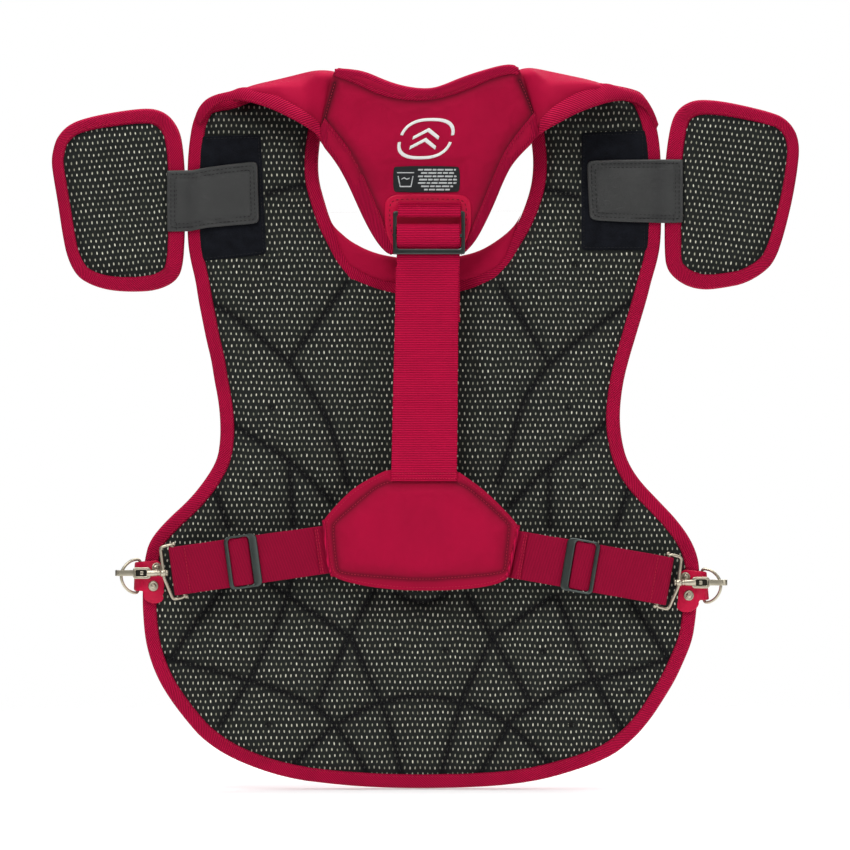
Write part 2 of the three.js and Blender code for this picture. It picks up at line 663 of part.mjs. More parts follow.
const YOKE_OUTLINE = [
  [-72.4, 577.2], [-63.2, 576.16], [-48, 573.44], [-32, 566.4], [-20, 562.72],
  [-7.2, 560.64], [5.6, 560.48], [12.8, 562.4], [28.8, 568.8], [45.6, 574.4],
  [65.6, 580.4], [75.6, 578], [82.4, 552], [90, 524.8], [71.2, 503.2], [63.2, 488],
  [56.8, 472], [49.6, 456], [41.2, 440], [32.8, 430.4], [28.8, 428], [-27.2, 428],
  [-32, 430.4], [-40, 440], [-48.8, 456], [-56, 472], [-63.2, 488], [-72, 503.2],
  [-82.8, 519.2], [-80.8, 536], [-76.8, 555.2],
];
// Part of the yoke that holds its top binding.
const YOKE_TOP_REGION = [
  [-68, 600], [-68, 564.8], [-32, 542.4], [0, 539.2], [36, 545.6], [72.8, 564.8], [72.8, 600],
];

function addYokeLayers() {
  const outline = inset(YOKE_OUTLINE, 1.6);
  add("yoke_cover", sheet(outline, yokeOuterY, 0.3, 1.3, YOKE_STEP), CRIMSON);
  const foam = layer(
    inset(YOKE_OUTLINE, 4), offset(yokeOuterY, 1.5), offset(yokeInnerY, -1.7), YOKE_STEP,
  );
  add("yoke_foam", foam, FOAM);
  add("yoke_lining", sheet(outline, yokeInnerY, -1.5, -0.8, YOKE_STEP), MESH_CLOTH);
}

function addYokeBindings() {
  const tape = binding(
    YOKE_OUTLINE, yokeOuterY, offset(yokeInnerY, -0.6),
    { gap: 0, faceThick: 0.5, flange: 12, step: YOKE_STEP },
  );
  const top = tape.intersect(prism(YOKE_TOP_REGION));
  add("yoke_neck_binding", largest(top.decompose()), TWILL);
  for (const { name, sign } of SIDES) {
    const [x0, x1] = sign < 0 ? [-200, -6] : [6, 200];
    const edge = tape.intersect(box(x0, x1, -150, 150, 436, 524.8));
    add(`yoke_side_binding_${name}`, largest(edge.decompose()), TWILL);
  }
}

// Shoulder pads arch from their crest down towards -Y.
const padCrest = (x) => 579.2 - 0.000868 * Math.pow(Math.max(0, Math.abs(x) - 60), 2);
const shoulderOuterY = (x, z) =>
  -28 - 18 * Math.min(1, Math.max(0, (padCrest(x) - z) / 48));
const shoulderInnerY = (x, z) => Math.min(SHOULDER_AXIS_Y - 0.6, shoulderOuterY(x, z) + 10.5);

// Coated patch above and behind the buckle.
const ANCHOR_PATCH = [
  [-32.32, 467.2], [-30.4, 472.4], [-26.4, 475.36], [-20.8, 476.64], [25.6, 476.64],
  [31.2, 475.36], [35.2, 472.4], [37.12, 467.2], [36.96, 451.2], [34.4, 441.6],
  [28.8, 432], [-24, 432], [-29.6, 441.6], [-32.16, 451.2],
];
const CARE_LABEL = [
  [-24, 498.4], [26.4, 498.4], [27.52, 497.28], [27.52, 479.2],
  [26.4, 478.08], [-24, 478.08], [-25.12, 479.2], [-25.12, 497.28],
];

addYokeLayers();
addYokeBindings();
for (const side of SIDES) {
  const pad = layer(side.shoulderPad, shoulderOuterY, shoulderInnerY, 20);
  add(`shoulder_pad_${side.name}`, pad, CRIMSON);
}
const anchorPatch = sheet(ANCHOR_PATCH, yokeOuterY, -2.1, -0.8, YOKE_STEP);
add("strap_anchor_patch", anchorPatch, COATED_RED);
add("care_label", sheet(CARE_LABEL, yokeOuterY, -0.9, -0.3, YOKE_STEP), LABEL);

// ---------------------------------------------------------------- buckle and back strap
const WEB_THICK = 1.4; // elastic webbing of the back strap
const BAR = 3; // bar thickness of the back buckle
const BUCKLE_Y = -31.2;
const BUCKLE_LEFT = -25.6;
const BUCKLE_RIGHT = 32;
const BAR_TOP = 461.28; // heights of the three bars
const BAR_MIDDLE = 443.2;
const BAR_LOW = 430.56;
const BACK_STRAP_WIDTH = 52.4;
const STRAP_X = -0.8; // centre of the strap below the buckle
const STRAP_END = 247.44;
const TAIL_END = 374.4;
const STRAP_OUTER_Y = BUCKLE_Y + BAR / 2 + 0.4; // -Y face, on the +Y side of the low bar

// Frame with a flat low bar and round middle and top bars.
function addBuckle() {
  const y0 = BUCKLE_Y - BAR / 2;
  const y1 = BUCKLE_Y + BAR / 2;
  const rail = (x0, x1) => box(x0, x1, y0 + 0.3, y1 - 0.3, BAR_LOW - 2.2, BAR_TOP + 1.5);
  const roundBar = (z) =>
    rod([BUCKLE_LEFT + 1, BUCKLE_Y, z], [BUCKLE_RIGHT - 1, BUCKLE_Y, z], BAR / 2);
  const buckle = union(
    rail(BUCKLE_LEFT, BUCKLE_LEFT + 3.1),
    rail(BUCKLE_RIGHT - 3.1, BUCKLE_RIGHT),
    box(BUCKLE_LEFT, BUCKLE_RIGHT, y0, y1, BAR_LOW - 2.25, BAR_LOW + 2.25),
    roundBar(BAR_MIDDLE),
    roundBar(BAR_TOP),
  );
  add("back_buckle", buckle, GUNMETAL);
}

// Webbing loop that passes round under the top bar.
function addBuckleLoop() {
  const inside = BAR / 2 + 0.4;
  const outside = inside + WEB_THICK;
  const outerEnd = BAR_TOP + 7.4;
  const innerEnd = BAR_TOP + 9;
  const profile = [
    [BUCKLE_Y - outside, outerEnd],
    ...arc(BUCKLE_Y, BAR_TOP, outside, 180, 360, 8),
    [BUCKLE_Y + outside, innerEnd],
    [BUCKLE_Y + inside, innerEnd],
    ...arc(BUCKLE_Y, BAR_TOP, inside, 360, 180, 8),
    [BUCKLE_Y - inside, outerEnd],
  ];
  add("buckle_loop", crosswise(profile, BUCKLE_LEFT + 3.6, BUCKLE_RIGHT - 3.6), CRIMSON);
}

// Elastic back strap: up from the back pad on the +Y side of the low bar, over the
// middle bar, and down again as a tail.
function addBackStrap() {
  const tailOuterY = STRAP_OUTER_Y + WEB_THICK + 0.5;
  const tailInnerY = tailOuterY + WEB_THICK;
  const inside = BAR / 2 + 0.45;
  const outside = inside + WEB_THICK;
  const profile = [
    [STRAP_OUTER_Y, STRAP_END],
    [STRAP_OUTER_Y, BAR_LOW + 3.2],
    [BUCKLE_Y - outside, BAR_MIDDLE - 1.6],
    ...arc(BUCKLE_Y, BAR_MIDDLE, outside, 180, 20, 7),
    [tailInnerY, BAR_MIDDLE - 5],
    [tailInnerY, TAIL_END],
    [tailOuterY, TAIL_END],
    [tailOuterY, BAR_MIDDLE - 5],
    ...arc(BUCKLE_Y, BAR_MIDDLE, inside, 20, 180, 7),
    [BUCKLE_Y - inside, BAR_MIDDLE - 2.4],
    [STRAP_OUTER_Y + WEB_THICK, BAR_LOW + 2.6],
    [STRAP_OUTER_Y + WEB_THICK, STRAP_END],
  ];
  const run = (x0, x1, z0, z1) =>
    crosswise(profile, x0, x1).intersect(box(-99, 99, -99, 0, z0, z1));
  // Below the buckle the webbing sits a little to one side.
  const stepZ = BAR_LOW - 3.4;
  const half = BACK_STRAP_WIDTH / 2;
  const strap = run(BUCKLE_LEFT + 3.4, BUCKLE_RIGHT - 3.4, stepZ, 999)
    .add(run(STRAP_X - half, STRAP_X + half, -99, stepZ + 0.01));
  add("back_strap", strap, CRIMSON);
}

addBuckle();
addBuckleLoop();
addBackStrap();

// ---------------------------------------------------------------- back pad
const BACK_PAD = [
  [-28, 257.04], [-37.6, 252.8], [-55.2, 243.2], [-68, 231.52], [-80.8, 216.8],
  [-81.6, 212.4], [-79.6, 190.72], [-76, 172.8], [-68, 168], [-48.8, 163.2],
  [-23.2, 160], [-1.6, 159.44], [27.2, 160], [52.8, 163.2], [64.8, 168], [67.2, 171.6],
  [71.2, 190.72], [76, 208.8], [72, 215.2], [59.2, 228.8], [46.4, 240.8], [33.6, 250],
  [23.2, 257.04],
];
const BACK_PAD_STEP = 30; // facet size of the foam and lining
const backPadOuterY = () => STRAP_OUTER_Y + WEB_THICK + 0.3;
// The +Y side of the foam is thickest near the middle.
const backPadInnerY = (x) => backPadOuterY() + 12 - 0.000512 * Math.pow(x + 2.8, 2);

function addBackPad() {
  add("back_pad_cover", sheet(BACK_PAD, backPadOuterY, 0, 1.6, 40), CRIMSON);
  const foam = layer(
    inset(BACK_PAD, 2), offset(backPadOuterY, 1.9), backPadInnerY, BACK_PAD_STEP,
  );
  add("back_pad_foam", foam, FOAM);
  const lining = sheet(BACK_PAD, backPadInnerY, 0.3, 1.9, BACK_PAD_STEP);
  add("back_pad_lining", lining, MESH_CLOTH);
}

addBackPad();

// ---------------------------------------------------------------- side straps, hooks
const SIDE_WEB_THICK = 1.6; // elastic webbing of the side straps
const SIDE_STRAP_WIDTH = 38.4;
const SIDE_STRAP_GAP = 3.6; // space inside the doubled side strap
const SIDE_STRAP_Y = -21; // where the strap starts at the back pad
const FRAME_WIRE = 1.25; // hook-frame wire radius
const FRAME_HALF = 21.5; // half height of the hook frame, wire centres
const FRAME_ARM = 9.6; // straight part of the frame next to its bar
const JAW_HALF = 2.5; // half height of the hook's jaw

// The strap's frame: origin at the back pad, x along the strap to the hook frame's
// bar, z across its width. Local y points to +Y on the right and to -Y on the left.
function strapFrame(side) {
  const [startX, startZ] = side.strapStart;
  const [barX, barZ] = side.frameBar;
  const from = new THREE.Vector3(startX, SIDE_STRAP_Y, startZ);
  const to = new THREE.Vector3(barX, ringCrownY(side) - SWIVEL_TO_WIRE, barZ);
  const along = to.clone().sub(from).normalize();
  const width = new THREE.Vector3(0, 0, 1).addScaledVector(along, -along.z).normalize();
  const normal = width.clone().cross(along);
  return { from, to, along, width, normal };
}

// Doubled webbing: outer run on the -Y side, fold round the bar, short inner run.
function addSideStrap(side, { from, to }, group) {
  const inside = SIDE_STRAP_GAP / 2;
  const outside = inside + SIDE_WEB_THICK;
  const foldAt = from.distanceTo(to) + 2.2;
  const innerEnd = 26;
  const profile = [
    [0, outside],
    ...arc(foldAt, 0, outside, 90, -90, 6),
    [innerEnd, -outside],
    [innerEnd, -inside],
    ...arc(foldAt, 0, inside, -90, 90, 6),
    [0, inside],
  ].map(([x, outward]) => [x, -side.sign * outward]);
  const half = SIDE_STRAP_WIDTH / 2;
  add(`side_strap_${side.name}`, upright(profile, -half, half), CRIMSON, group);
}

// Slider: two bars outside the strap, one between its runs, joined past both edges.
function addSlider(side, { from, along }, group) {
  const slider = new THREE.Group();
  slider.position.x = Math.abs(side.sliderX - from.x) / Math.abs(along.x);
  group.add(slider);
  const edge = SIDE_STRAP_WIDTH / 2 + 0.5;
  const end = SIDE_STRAP_WIDTH / 2 + 2.1;
  const base = SIDE_STRAP_GAP / 2 + SIDE_WEB_THICK + 0.5;
  const top = base + 2.2;
  const block = (x0, x1, low, high, z0, z1) => {
    const [y0, y1] = [-side.sign * low, -side.sign * high].sort((a, b) => a - b);
    return box(x0, x1, y0, y1, z0, z1);
  };
  const solid = union(
    block(-13.4, -6.8, base, top, -end, end),
    block(10.2, 13.4, base, top, -end, end),
    block(-13.4, 13.4, base, top, edge, end),
    block(-13.4, 13.4, base, top, -end, -edge),
    block(-2, 4, -1.2, top, edge, end),
    block(-2, 4, -1.2, top, -end, -edge),
    block(-1.6, 2.6, -1.2, 1, -end, end),
  );
  add(`side_slider_${side.name}`, solid, GUNMETAL, slider);
}

// Wire frame that joins the strap to the swivel of the hook.
function addHookFrame(side, { to, normal }) {
  const { sign, eyeX, hookZ } = side;
  const y = to.y;
  const tilt = THREE.MathUtils.degToRad(side.frameTilt);
  // The bar lies in the plane of the strap, so its ends differ a little in y.
  const barDirection = new THREE.Vector3(sign * Math.sin(tilt), 0, Math.cos(tilt));
  barDirection.y = -(normal.x * barDirection.x + normal.z * barDirection.z) / normal.y;
  const barEnd = (end) => to.clone().addScaledVector(barDirection, end * FRAME_HALF).toArray();
  const armEnd = ([x, endY, z]) => [
    x + sign * Math.cos(tilt) * FRAME_ARM, endY, z - Math.sin(tilt) * FRAME_ARM,
  ];
  const top = barEnd(1);
  const bottom = barEnd(-1);
  const path = [
    top, armEnd(top), [eyeX, y, hookZ + 2], [eyeX, y, hookZ - 2], armEnd(bottom), bottom,
  ];
  const frame = union(
    wireLoop(path, [0, 1, 0], FRAME_WIRE),
    box(eyeX - 2.1, eyeX + 2.1, y - 2.6, y + 2.6, hookZ - 3.2, hookZ + 3.2),
  ).subtract(rod([eyeX - 9, y, hookZ], [eyeX + 9, y, hookZ], 1.4, 10));
  add(`hook_frame_${side.name}`, frame, NICKEL);
}

// Hook and gate. Profiles are [distance from the ring's crown towards the strap,
// distance from the ring wire towards +Y].
function addSnapHook(side, { to }) {
  const { name, crownX, hookZ } = side;
  const hookX = (distance) => crownX - side.sign * distance;
  const flat = (points, halfHeight) => {
    const profile = points.map(([u, v]) => [hookX(u), to.y + SWIVEL_TO_WIRE + v]);
    return upright(profile, hookZ - halfHeight, hookZ + halfHeight);
  };
  const round = (start, end, radius, sides) =>
    rod([hookX(start), to.y, hookZ], [hookX(end), to.y, hookZ], radius, sides);
  const eye = Math.abs(crownX - side.eyeX);
  const axis = -SWIVEL_TO_WIRE;
  const body = [
    [9.4, axis - 1.5], [23, axis - 1.5], [24, axis], [23, axis + 1.5], [9.4, axis + 1.5],
  ];
  const jaw = [
    [11, axis - 1.5], [-1.5, axis - 1.5], [-4, axis], [-4.8, axis + 2.6], [-4.8, 3.6],
    [-4.3, 4.2], [-3.3, 4.2], [-3.3, axis + 2.9], [-2.4, axis + 1.9], [-1.2, axis + 1.5],
    [6.3, axis + 1.5], [6.3, 2.6], [9, 2.6], [9, axis + 1.5], [11, axis + 1.5],
  ];
  const hook = union(
    round(eye + 2.4, eye + 3.9, 2.4, 10), // pin head
    round(eye + 3, eye - 4, 1, 8), // pin through the frame's eye
    round(eye - 2.5, 20.5, 2.2, 10), // barrel
    flat(body, 4.6),
    flat(jaw, JAW_HALF),
  );
  add(`snap_hook_${name}`, hook, NICKEL);
  const gate = [[-2.9, 2.95], [9, 2.95], [9, 3.65], [-2.9, 3.65]];
  add(`hook_gate_${name}`, flat(gate, 2.2), NICKEL);
}

for (const side of SIDES) {
  const frame = strapFrame(side);
  const group = new THREE.Group();
  group.position.copy(frame.from);
  group.quaternion.setFromRotationMatrix(
    new THREE.Matrix4().makeBasis(frame.along, frame.normal, frame.width),
  );
  protector.add(group);
  addSideStrap(side, frame, group);
  addSlider(side, frame, group);
  addHookFrame(side, frame);
  addSnapHook(side, frame);
}

// ---------------------------------------------------------------- arm tabs and arm pads
const ARM_THICK = 12.5;
const ARM_START_X = 192; // where the pad starts to curve towards -Y

function armInnerY(x) {
  const beyond = Math.abs(x) - ARM_START_X;
  return -14.2 - 0.12 * beyond - 0.0011 * Math.pow(beyond, 2);
}
const armOuterY = offset(armInnerY, ARM_THICK);

// Tab and hook strip on the wearer's side of the panel.
function addArmTab({ name, armTab, hookStripX: [x0, x1] }) {
  add(`arm_tab_${name}`, sheet(armTab, innerY, -4.6, -3.2), SYNTHETIC_LEATHER);
  const strip = [[x0, 495.2], [x1, 495.2], [x1, 458.4], [x0, 458.4]];
  add(`arm_tab_hook_strip_${name}`, sheet(strip, innerY, -2.9, -1.8), CHARCOAL);
}

function addArmPad({ name, armPad }) {
  const outline = inset(armPad, BIND_WALL + LAYER_GAP);
  add(`arm_pad_lining_${name}`, sheet(outline, armInnerY, 0, 1.6), MESH_CLOTH);
  const foam = layer(inset(armPad, 7), offset(armInnerY, 1.9), offset(armOuterY, -2.1));
  add(`arm_pad_foam_${name}`, foam, FOAM);
  add(`arm_pad_cover_${name}`, sheet(outline, armOuterY, -1.8, 0), CRIMSON);
  add(`arm_pad_binding_${name}`, binding(armPad, armInnerY, armOuterY), TWILL);
}

for (const side of SIDES) {
  addArmTab(side);
  addArmPad(side);
}

// ---------------------------------------------------------------- origin
protector.updateMatrixWorld(true);
const bounds = new THREE.Box3().setFromObject(protector, true);
const middle = bounds.getCenter(new THREE.Vector3());
protector.position.set(-middle.x, -middle.y, -bounds.min.z);

export default protector;
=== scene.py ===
"""Looks of a catcher's chest protector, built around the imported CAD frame.

It stands upright: x runs across (left is -x), z up, and y away from the wearer, so the
mesh-lined wearer's side faces -y and the camera. Lengths are the drawing's millimetres;
place() turns them into the frame's metres. Materials work in metres of cloth.
"""
import math
from collections import namedtuple

import bmesh
import bpy
import numpy as np
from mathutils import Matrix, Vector
from mathutils.bvhtree import BVHTree
from mathutils.geometry import delaunay_2d_cdt


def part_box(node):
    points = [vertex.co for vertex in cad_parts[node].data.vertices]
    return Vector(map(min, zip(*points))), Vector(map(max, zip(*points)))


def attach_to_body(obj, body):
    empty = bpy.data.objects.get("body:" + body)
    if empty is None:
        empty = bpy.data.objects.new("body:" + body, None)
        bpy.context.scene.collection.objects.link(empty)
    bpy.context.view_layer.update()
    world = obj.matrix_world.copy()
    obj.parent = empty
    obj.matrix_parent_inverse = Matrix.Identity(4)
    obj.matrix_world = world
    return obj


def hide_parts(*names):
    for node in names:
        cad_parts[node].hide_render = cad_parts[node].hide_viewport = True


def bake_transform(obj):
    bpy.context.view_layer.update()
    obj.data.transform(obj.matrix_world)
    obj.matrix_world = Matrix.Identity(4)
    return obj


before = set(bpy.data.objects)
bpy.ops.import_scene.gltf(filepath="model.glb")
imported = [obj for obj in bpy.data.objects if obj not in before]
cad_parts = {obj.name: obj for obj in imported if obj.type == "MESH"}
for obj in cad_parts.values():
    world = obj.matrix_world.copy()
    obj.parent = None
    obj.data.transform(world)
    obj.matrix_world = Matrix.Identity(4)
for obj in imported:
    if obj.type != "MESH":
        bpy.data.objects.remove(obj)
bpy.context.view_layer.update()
RNG = np.random.RandomState(7)
TAU = 2 * math.pi
SIDES = {"left": -1, "right": 1}

# Driving dimensions
HALF_WIDTH = 225.0           # panel, at its widest
PAD_FRONT = -27.6            # y of the back pad's wearer-side face
ARM_THICK = 12.5
PLATE_HALF, PLATE_Z = 22.0, 288.0   # flat square plate in the middle of the outer face
PLATE_CLEAR = 24.0           # half side of the square round it that stays free of seams
BUCKLE_Y = -31.2
BUCKLE_X = (-25.6, 32.0)
BAR_TOP, BAR_MID, BAR_LOW = 461.28, 443.2, 430.56   # z of the buckle's three bars
STRAP_END_Z = 247.44         # where the elastic back strap is sewn to the back pad
LABEL_SINK = 0.33            # print on the care label, above the label's middle

# The drawing's origin seen from the frame, from the boxes of two CAD nodes.
CARE_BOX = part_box("care_label")
PAD_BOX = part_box("back_pad_cover")
SHIFT = np.array([
    CARE_BOX[0].x * 1000 + 25.12,
    PAD_BOX[0].y * 1000 - PAD_FRONT,
    CARE_BOX[0].z * 1000 - 478.08,
])


def place(v):
    """Drawing millimetres to frame metres."""
    return (np.asarray(v, float) + SHIFT) / 1000.0


def at(x, y, z):
    return tuple(place([x, y, z]))


# ------------------------------------------------------------------ curves and surfaces
def smooth(t):
    c = np.clip(t, 0, 1)
    return c * c * (3 - 2 * c)


def bell(d, width):
    return np.exp(-(d / width) ** 2)


def ditch(d, width, power):
    """0 on a seam, rising to 1 away from it."""
    return 1 - np.exp(-(d / width) ** power)


def rounded(d, r):
    """0 at the rim, 1 from r inwards, with a round shoulder."""
    t = np.clip(d / r, 0, 1)
    return np.sqrt(1 - (1 - t) ** 2)


def inner_y(x, z):
    """Wearer's face of the panel, before quilting."""
    top = smooth((z - 300) / 150)
    wrap = 38 * (1 - top) + 20 * top
    low = np.maximum(0, (110 - z) / 110)
    return -wrap * np.power(np.abs(x) / HALF_WIDTH, 2.2) - 8 * low * low


def outer_y(x, z):
    """Face of the panel away from the wearer."""
    u = np.minimum(1.1, np.abs(x) / HALF_WIDTH)
    low = np.maximum(0, (80 - z) / 80)
    top = np.maximum(0, (z - 480) / 90)
    return inner_y(x, z) + 17 - 8.5 * u ** 3 - 5 * low * low - 4 * top * top


def yoke_back_y(x, z):
    return -18.9 - 9 * np.power(np.maximum(0, (z - 430) / 130), 1.5)


def yoke_front_y(x, z):
    return yoke_back_y(x, z) - (3.8 + 7 * smooth((z - 472) / 50))


def crest_z(x):
    """Height of the shoulder crest."""
    return 579.2 - 0.000868 * np.maximum(0, np.abs(x) - 60) ** 2


def arm_low_y(x, z):
    """Wearer's face of the arm pads."""
    a = np.abs(x) - 192
    return -14.2 - 0.12 * a - 0.0011 * a * a


# ------------------------------------------------------------------ value noise
NOISE_ORDER = RNG.permutation(4096)
NOISE_VALUES = RNG.rand(4096)


def lattice_value(i, j):
    return NOISE_VALUES[NOISE_ORDER[(i.astype(int) + 57 * NOISE_ORDER[j.astype(int) & 4095]) & 4095]]


def noise(x, z, size, seed=0):
    """Smooth value noise in -1..1 with features about size long."""
    u = np.asarray(x, float) / size + 31.7 * seed + 500
    v = np.asarray(z, float) / size + 17.3 * seed + 500
    i, j = np.floor(u), np.floor(v)
    a, b = smooth(u - i), smooth(v - j)
    low = lattice_value(i, j) * (1 - a) + lattice_value(i + 1, j) * a
    high = lattice_value(i, j + 1) * (1 - a) + lattice_value(i + 1, j + 1) * a
    return 2 * (low * (1 - b) + high * b) - 1


# ------------------------------------------------------------------ plane tools
def arc_length(p):
    """Distance of each point from the first, along the line."""
    return np.r_[0, np.cumsum(np.linalg.norm(np.diff(p, axis=0), axis=1))]


def chaikin(p, rounds=2, closed=True):
    """Corner cutting, in any number of dimensions."""
    p = np.asarray(p, float)
    size = p.shape[1]
    for _ in range(rounds):
        a, b = (p, np.roll(p, -1, 0)) if closed else (p[:-1], p[1:])
        cut = np.stack([a * 0.75 + b * 0.25, a * 0.25 + b * 0.75], 1).reshape(-1, size)
        p = cut if closed else np.vstack([p[:1], cut, p[-1:]])
    return p


def resample(p, pitch=None, closed=True, count=None):
    p = np.asarray(p, float)
    q = np.vstack([p, p[:1]]) if closed else p
    d = arc_length(q)
    n = count or max(3 if closed else 1, int(round(d[-1] / pitch)))
    t = np.linspace(0, d[-1], n + 1)
    if closed:
        t = t[:-1]
    return np.stack([np.interp(t, d, q[:, k]) for k in range(q.shape[1])], 1)


def soft_ring(points, pitch, rounds=2):
    return resample(chaikin(points, rounds), pitch)


def soft_line(points, pitch=None, count=None):
    return resample(chaikin(points, closed=False), pitch, closed=False, count=count)


def area(p):
    q = np.roll(p, -1, 0)
    return float(np.sum(p[:, 0] * q[:, 1] - q[:, 0] * p[:, 1]) / 2)


def counter_clockwise(p):
    return p[::-1] if area(p) < 0 else p


def normals(p, closed=True):
    """Inward normals of a closed outline (left normals of an open line)."""
    t = np.roll(p, -1, 0) - np.roll(p, 1, 0) if closed else np.gradient(p, axis=0)
    t /= np.maximum(1e-9, np.linalg.norm(t, axis=1))[:, None]
    n = np.stack([-t[:, 1], t[:, 0]], 1)
    if closed and area(p) < 0:
        n = -n
    return n


def inside(poly, pts):
    x, z = pts[:, 0], pts[:, 1]
    hit = np.zeros(len(pts), bool)
    for (ax, az), (bx, bz) in zip(poly, np.roll(poly, -1, 0)):
        if az == bz:
            continue
        crosses = (az > z) != (bz > z)
        hit ^= crosses & (x < (bx - ax) * (z - az) / (bz - az) + ax)
    return hit


def seg_dist(pts, segs, chunk=4000):
    """Distance from each point to the nearest of the segments (M, 2, 2)."""
    a, b = segs[:, 0], segs[:, 1]
    ab = b - a
    squared = np.maximum(1e-9, (ab ** 2).sum(1))
    out = np.empty(len(pts))
    for s in range(0, len(pts), chunk):
        p = pts[s:s + chunk, None, :]
        t = np.clip(((p - a) * ab).sum(2) / squared, 0, 1)
        d = p - (a + t[..., None] * ab)
        out[s:s + chunk] = np.sqrt((d ** 2).sum(2)).min(1)
    return out


def spot_dist(pts, spots):
    """Distance from each point to the nearest of the spots."""
    return np.sqrt(((pts[:, None, :] - np.array(spots, float)[None]) ** 2).sum(2)).min(1)


def closed_segs(p):
    return np.stack([p, np.roll(p, -1, 0)], 1)


def open_segs(p):
    return np.stack([p[:-1], p[1:]], 1)


def all_segs(lines):
    return np.vstack([open_segs(line) for line in lines])


def poly_gap(poly, pts):
    """Distance outside a polygon, 0 inside."""
    d = seg_dist(pts, closed_segs(poly))
    d[inside(poly, pts)] = 0
    return d


def offset_in(p, d):
    """A closed outline moved inwards by d; points that fall back outside are dropped."""
    q = p + normals(p) * d
    return q[seg_dist(q, closed_segs(p)) > d * 0.93 - 0.02]


def line_offset(p, d):
    """An open line moved to its left by d, without the points that come too near it."""
    q = p + normals(p, closed=False) * d
    return q[seg_dist(q, open_segs(p)) > d * 0.97 - 0.01]


def opened(ring, start, keep):
    """A ring turned to begin at point number start, with only the points that keep allows."""
    ring = np.roll(ring, -start, 0)
    return ring[keep(ring)]


def cut_lines(lines, keep):
    """The stretches of the lines, of three points or more, where keep holds."""
    out = []
    for line in lines:
        run = []
        for point, kept in zip(line, keep(line)):
            if kept:
                run.append(point)
                continue
            if len(run) > 2:
                out.append(np.array(run))
            run = []
        if len(run) > 2:
            out.append(np.array(run))
    return out


def hexgrid(poly, pitch):
    lo, hi = poly.min(0) - pitch, poly.max(0) + pitch
    rows = []
    for j, z in enumerate(np.arange(lo[1], hi[1], pitch * math.sqrt(3) / 2)):
        xs = np.arange(lo[0], hi[0], pitch) + (pitch / 2 if j % 2 else 0)
        rows.append(np.stack([xs, np.full(len(xs), z)], 1))
    return np.vstack(rows)


# points in x-z, triangles, boundary loops of point numbers, and each point's rim distance
Fill = namedtuple("Fill", "points faces loops depth")


def boundary_loops(faces):
    directed = {}
    for t in faces:
        for a, b in ((t[0], t[1]), (t[1], t[2]), (t[2], t[0])):
            directed[(a, b)] = True
    left = {a: b for (a, b) in directed if (b, a) not in directed}
    loops = []
    while left:
        start = next(iter(left))
        loop = [start]
        current = left.pop(start)
        while current != start and current in left:
            loop.append(current)
            current = left.pop(current)
        loops.append(loop)
    return loops


def fill(outline, pitch, rings=(), lines=()):
    """Triangles that fill an outline, with rings of points inside the rim and points
    along the given lines."""
    outline = np.asarray(outline, float)
    segs = closed_segs(outline)
    pts = [outline] + [offset_in(outline, r) for r in rings]
    far = max(rings) if rings else 0
    for line in lines:
        pts.append(line[inside(outline, line) & (seg_dist(line, segs) > far + pitch * 0.35)])
    grid = hexgrid(outline, pitch)
    grid = grid[inside(outline, grid)]
    grid = grid[seg_dist(grid, segs) > far + pitch * 0.55]
    if len(lines):
        grid = grid[seg_dist(grid, all_segs(lines)) > pitch * 0.5]
    pts.append(grid)
    n = len(outline)
    edges = [(i, (i + 1) % n) for i in range(n)]
    found = delaunay_2d_cdt([Vector(p) for p in np.vstack(pts)], edges, [], 1, 1e-5, True)
    verts = np.array([tuple(p) for p in found[0]])
    faces = np.array([t for t in found[2] if len(t) == 3], int)
    faces = faces[inside(outline, verts[faces].mean(1))]
    # counter-clockwise in x-z, without slivers
    a, b, c = (verts[faces[:, i]] for i in range(3))
    cross = (b[:, 0] - a[:, 0]) * (c[:, 1] - a[:, 1]) - (b[:, 1] - a[:, 1]) * (c[:, 0] - a[:, 0])
    solid_ones = np.abs(cross) > 1e-7
    faces, cross = faces[solid_ones], cross[solid_ones]
    faces[cross < 0] = faces[cross < 0][:, ::-1]
    used = np.unique(faces)
    renumber = -np.ones(len(verts), int)
    renumber[used] = np.arange(len(used))
    verts, faces = verts[used], renumber[faces]
    return Fill(verts, faces, boundary_loops(faces), seg_dist(verts, segs))


# ------------------------------------------------------------------ meshes
def fix_normals(obj):
    bm = bmesh.new()
    bm.from_mesh(obj.data)
    bmesh.ops.recalc_face_normals(bm, faces=bm.faces)
    bm.to_mesh(obj.data)
    bm.free()


def make(name, verts, faces, mat, cloth=None, shade=None, smooth_faces=True, sharp=None,
         recalc=True):
    """A mesh object from drawing millimetres. cloth holds each vertex's place on the cloth (mm),
    which the weave follows; shade darkens it, from 0 to 1, as painted shade in grooves, creases and
    under overhangs, and as dark seam lines."""
    mesh = bpy.data.meshes.new(name)
    verts = np.asarray(verts, float)
    mesh.from_pydata([tuple(p) for p in place(verts)], [],
                     [tuple(int(i) for i in f) for f in faces])
    if smooth_faces:
        mesh.shade_smooth()
    cloth = verts if cloth is None else cloth
    if cloth.shape[1] == 2:
        cloth = np.c_[cloth, np.zeros(len(cloth))]
    attribute = mesh.attributes.new("cloth", "FLOAT_VECTOR", "POINT")
    attribute.data.foreach_set("vector", (cloth / 1000.0).astype(np.float32).ravel())
    # painted shade, with dark seam lines, kept per vertex
    if shade is not None:
        attribute = mesh.attributes.new("dark_seam_and_painted_shade", "FLOAT", "POINT")
        attribute.data.foreach_set("value", np.clip(shade, 0, 1).astype(np.float32))
    mesh.materials.append(mat)
    mesh.update()
    obj = bpy.data.objects.new(name, mesh)
    bpy.context.scene.collection.objects.link(obj)
    if sharp is not None:
        mesh.set_sharp_from_angle(angle=math.radians(sharp))
    if recalc:
        fix_normals(obj)
    return obj


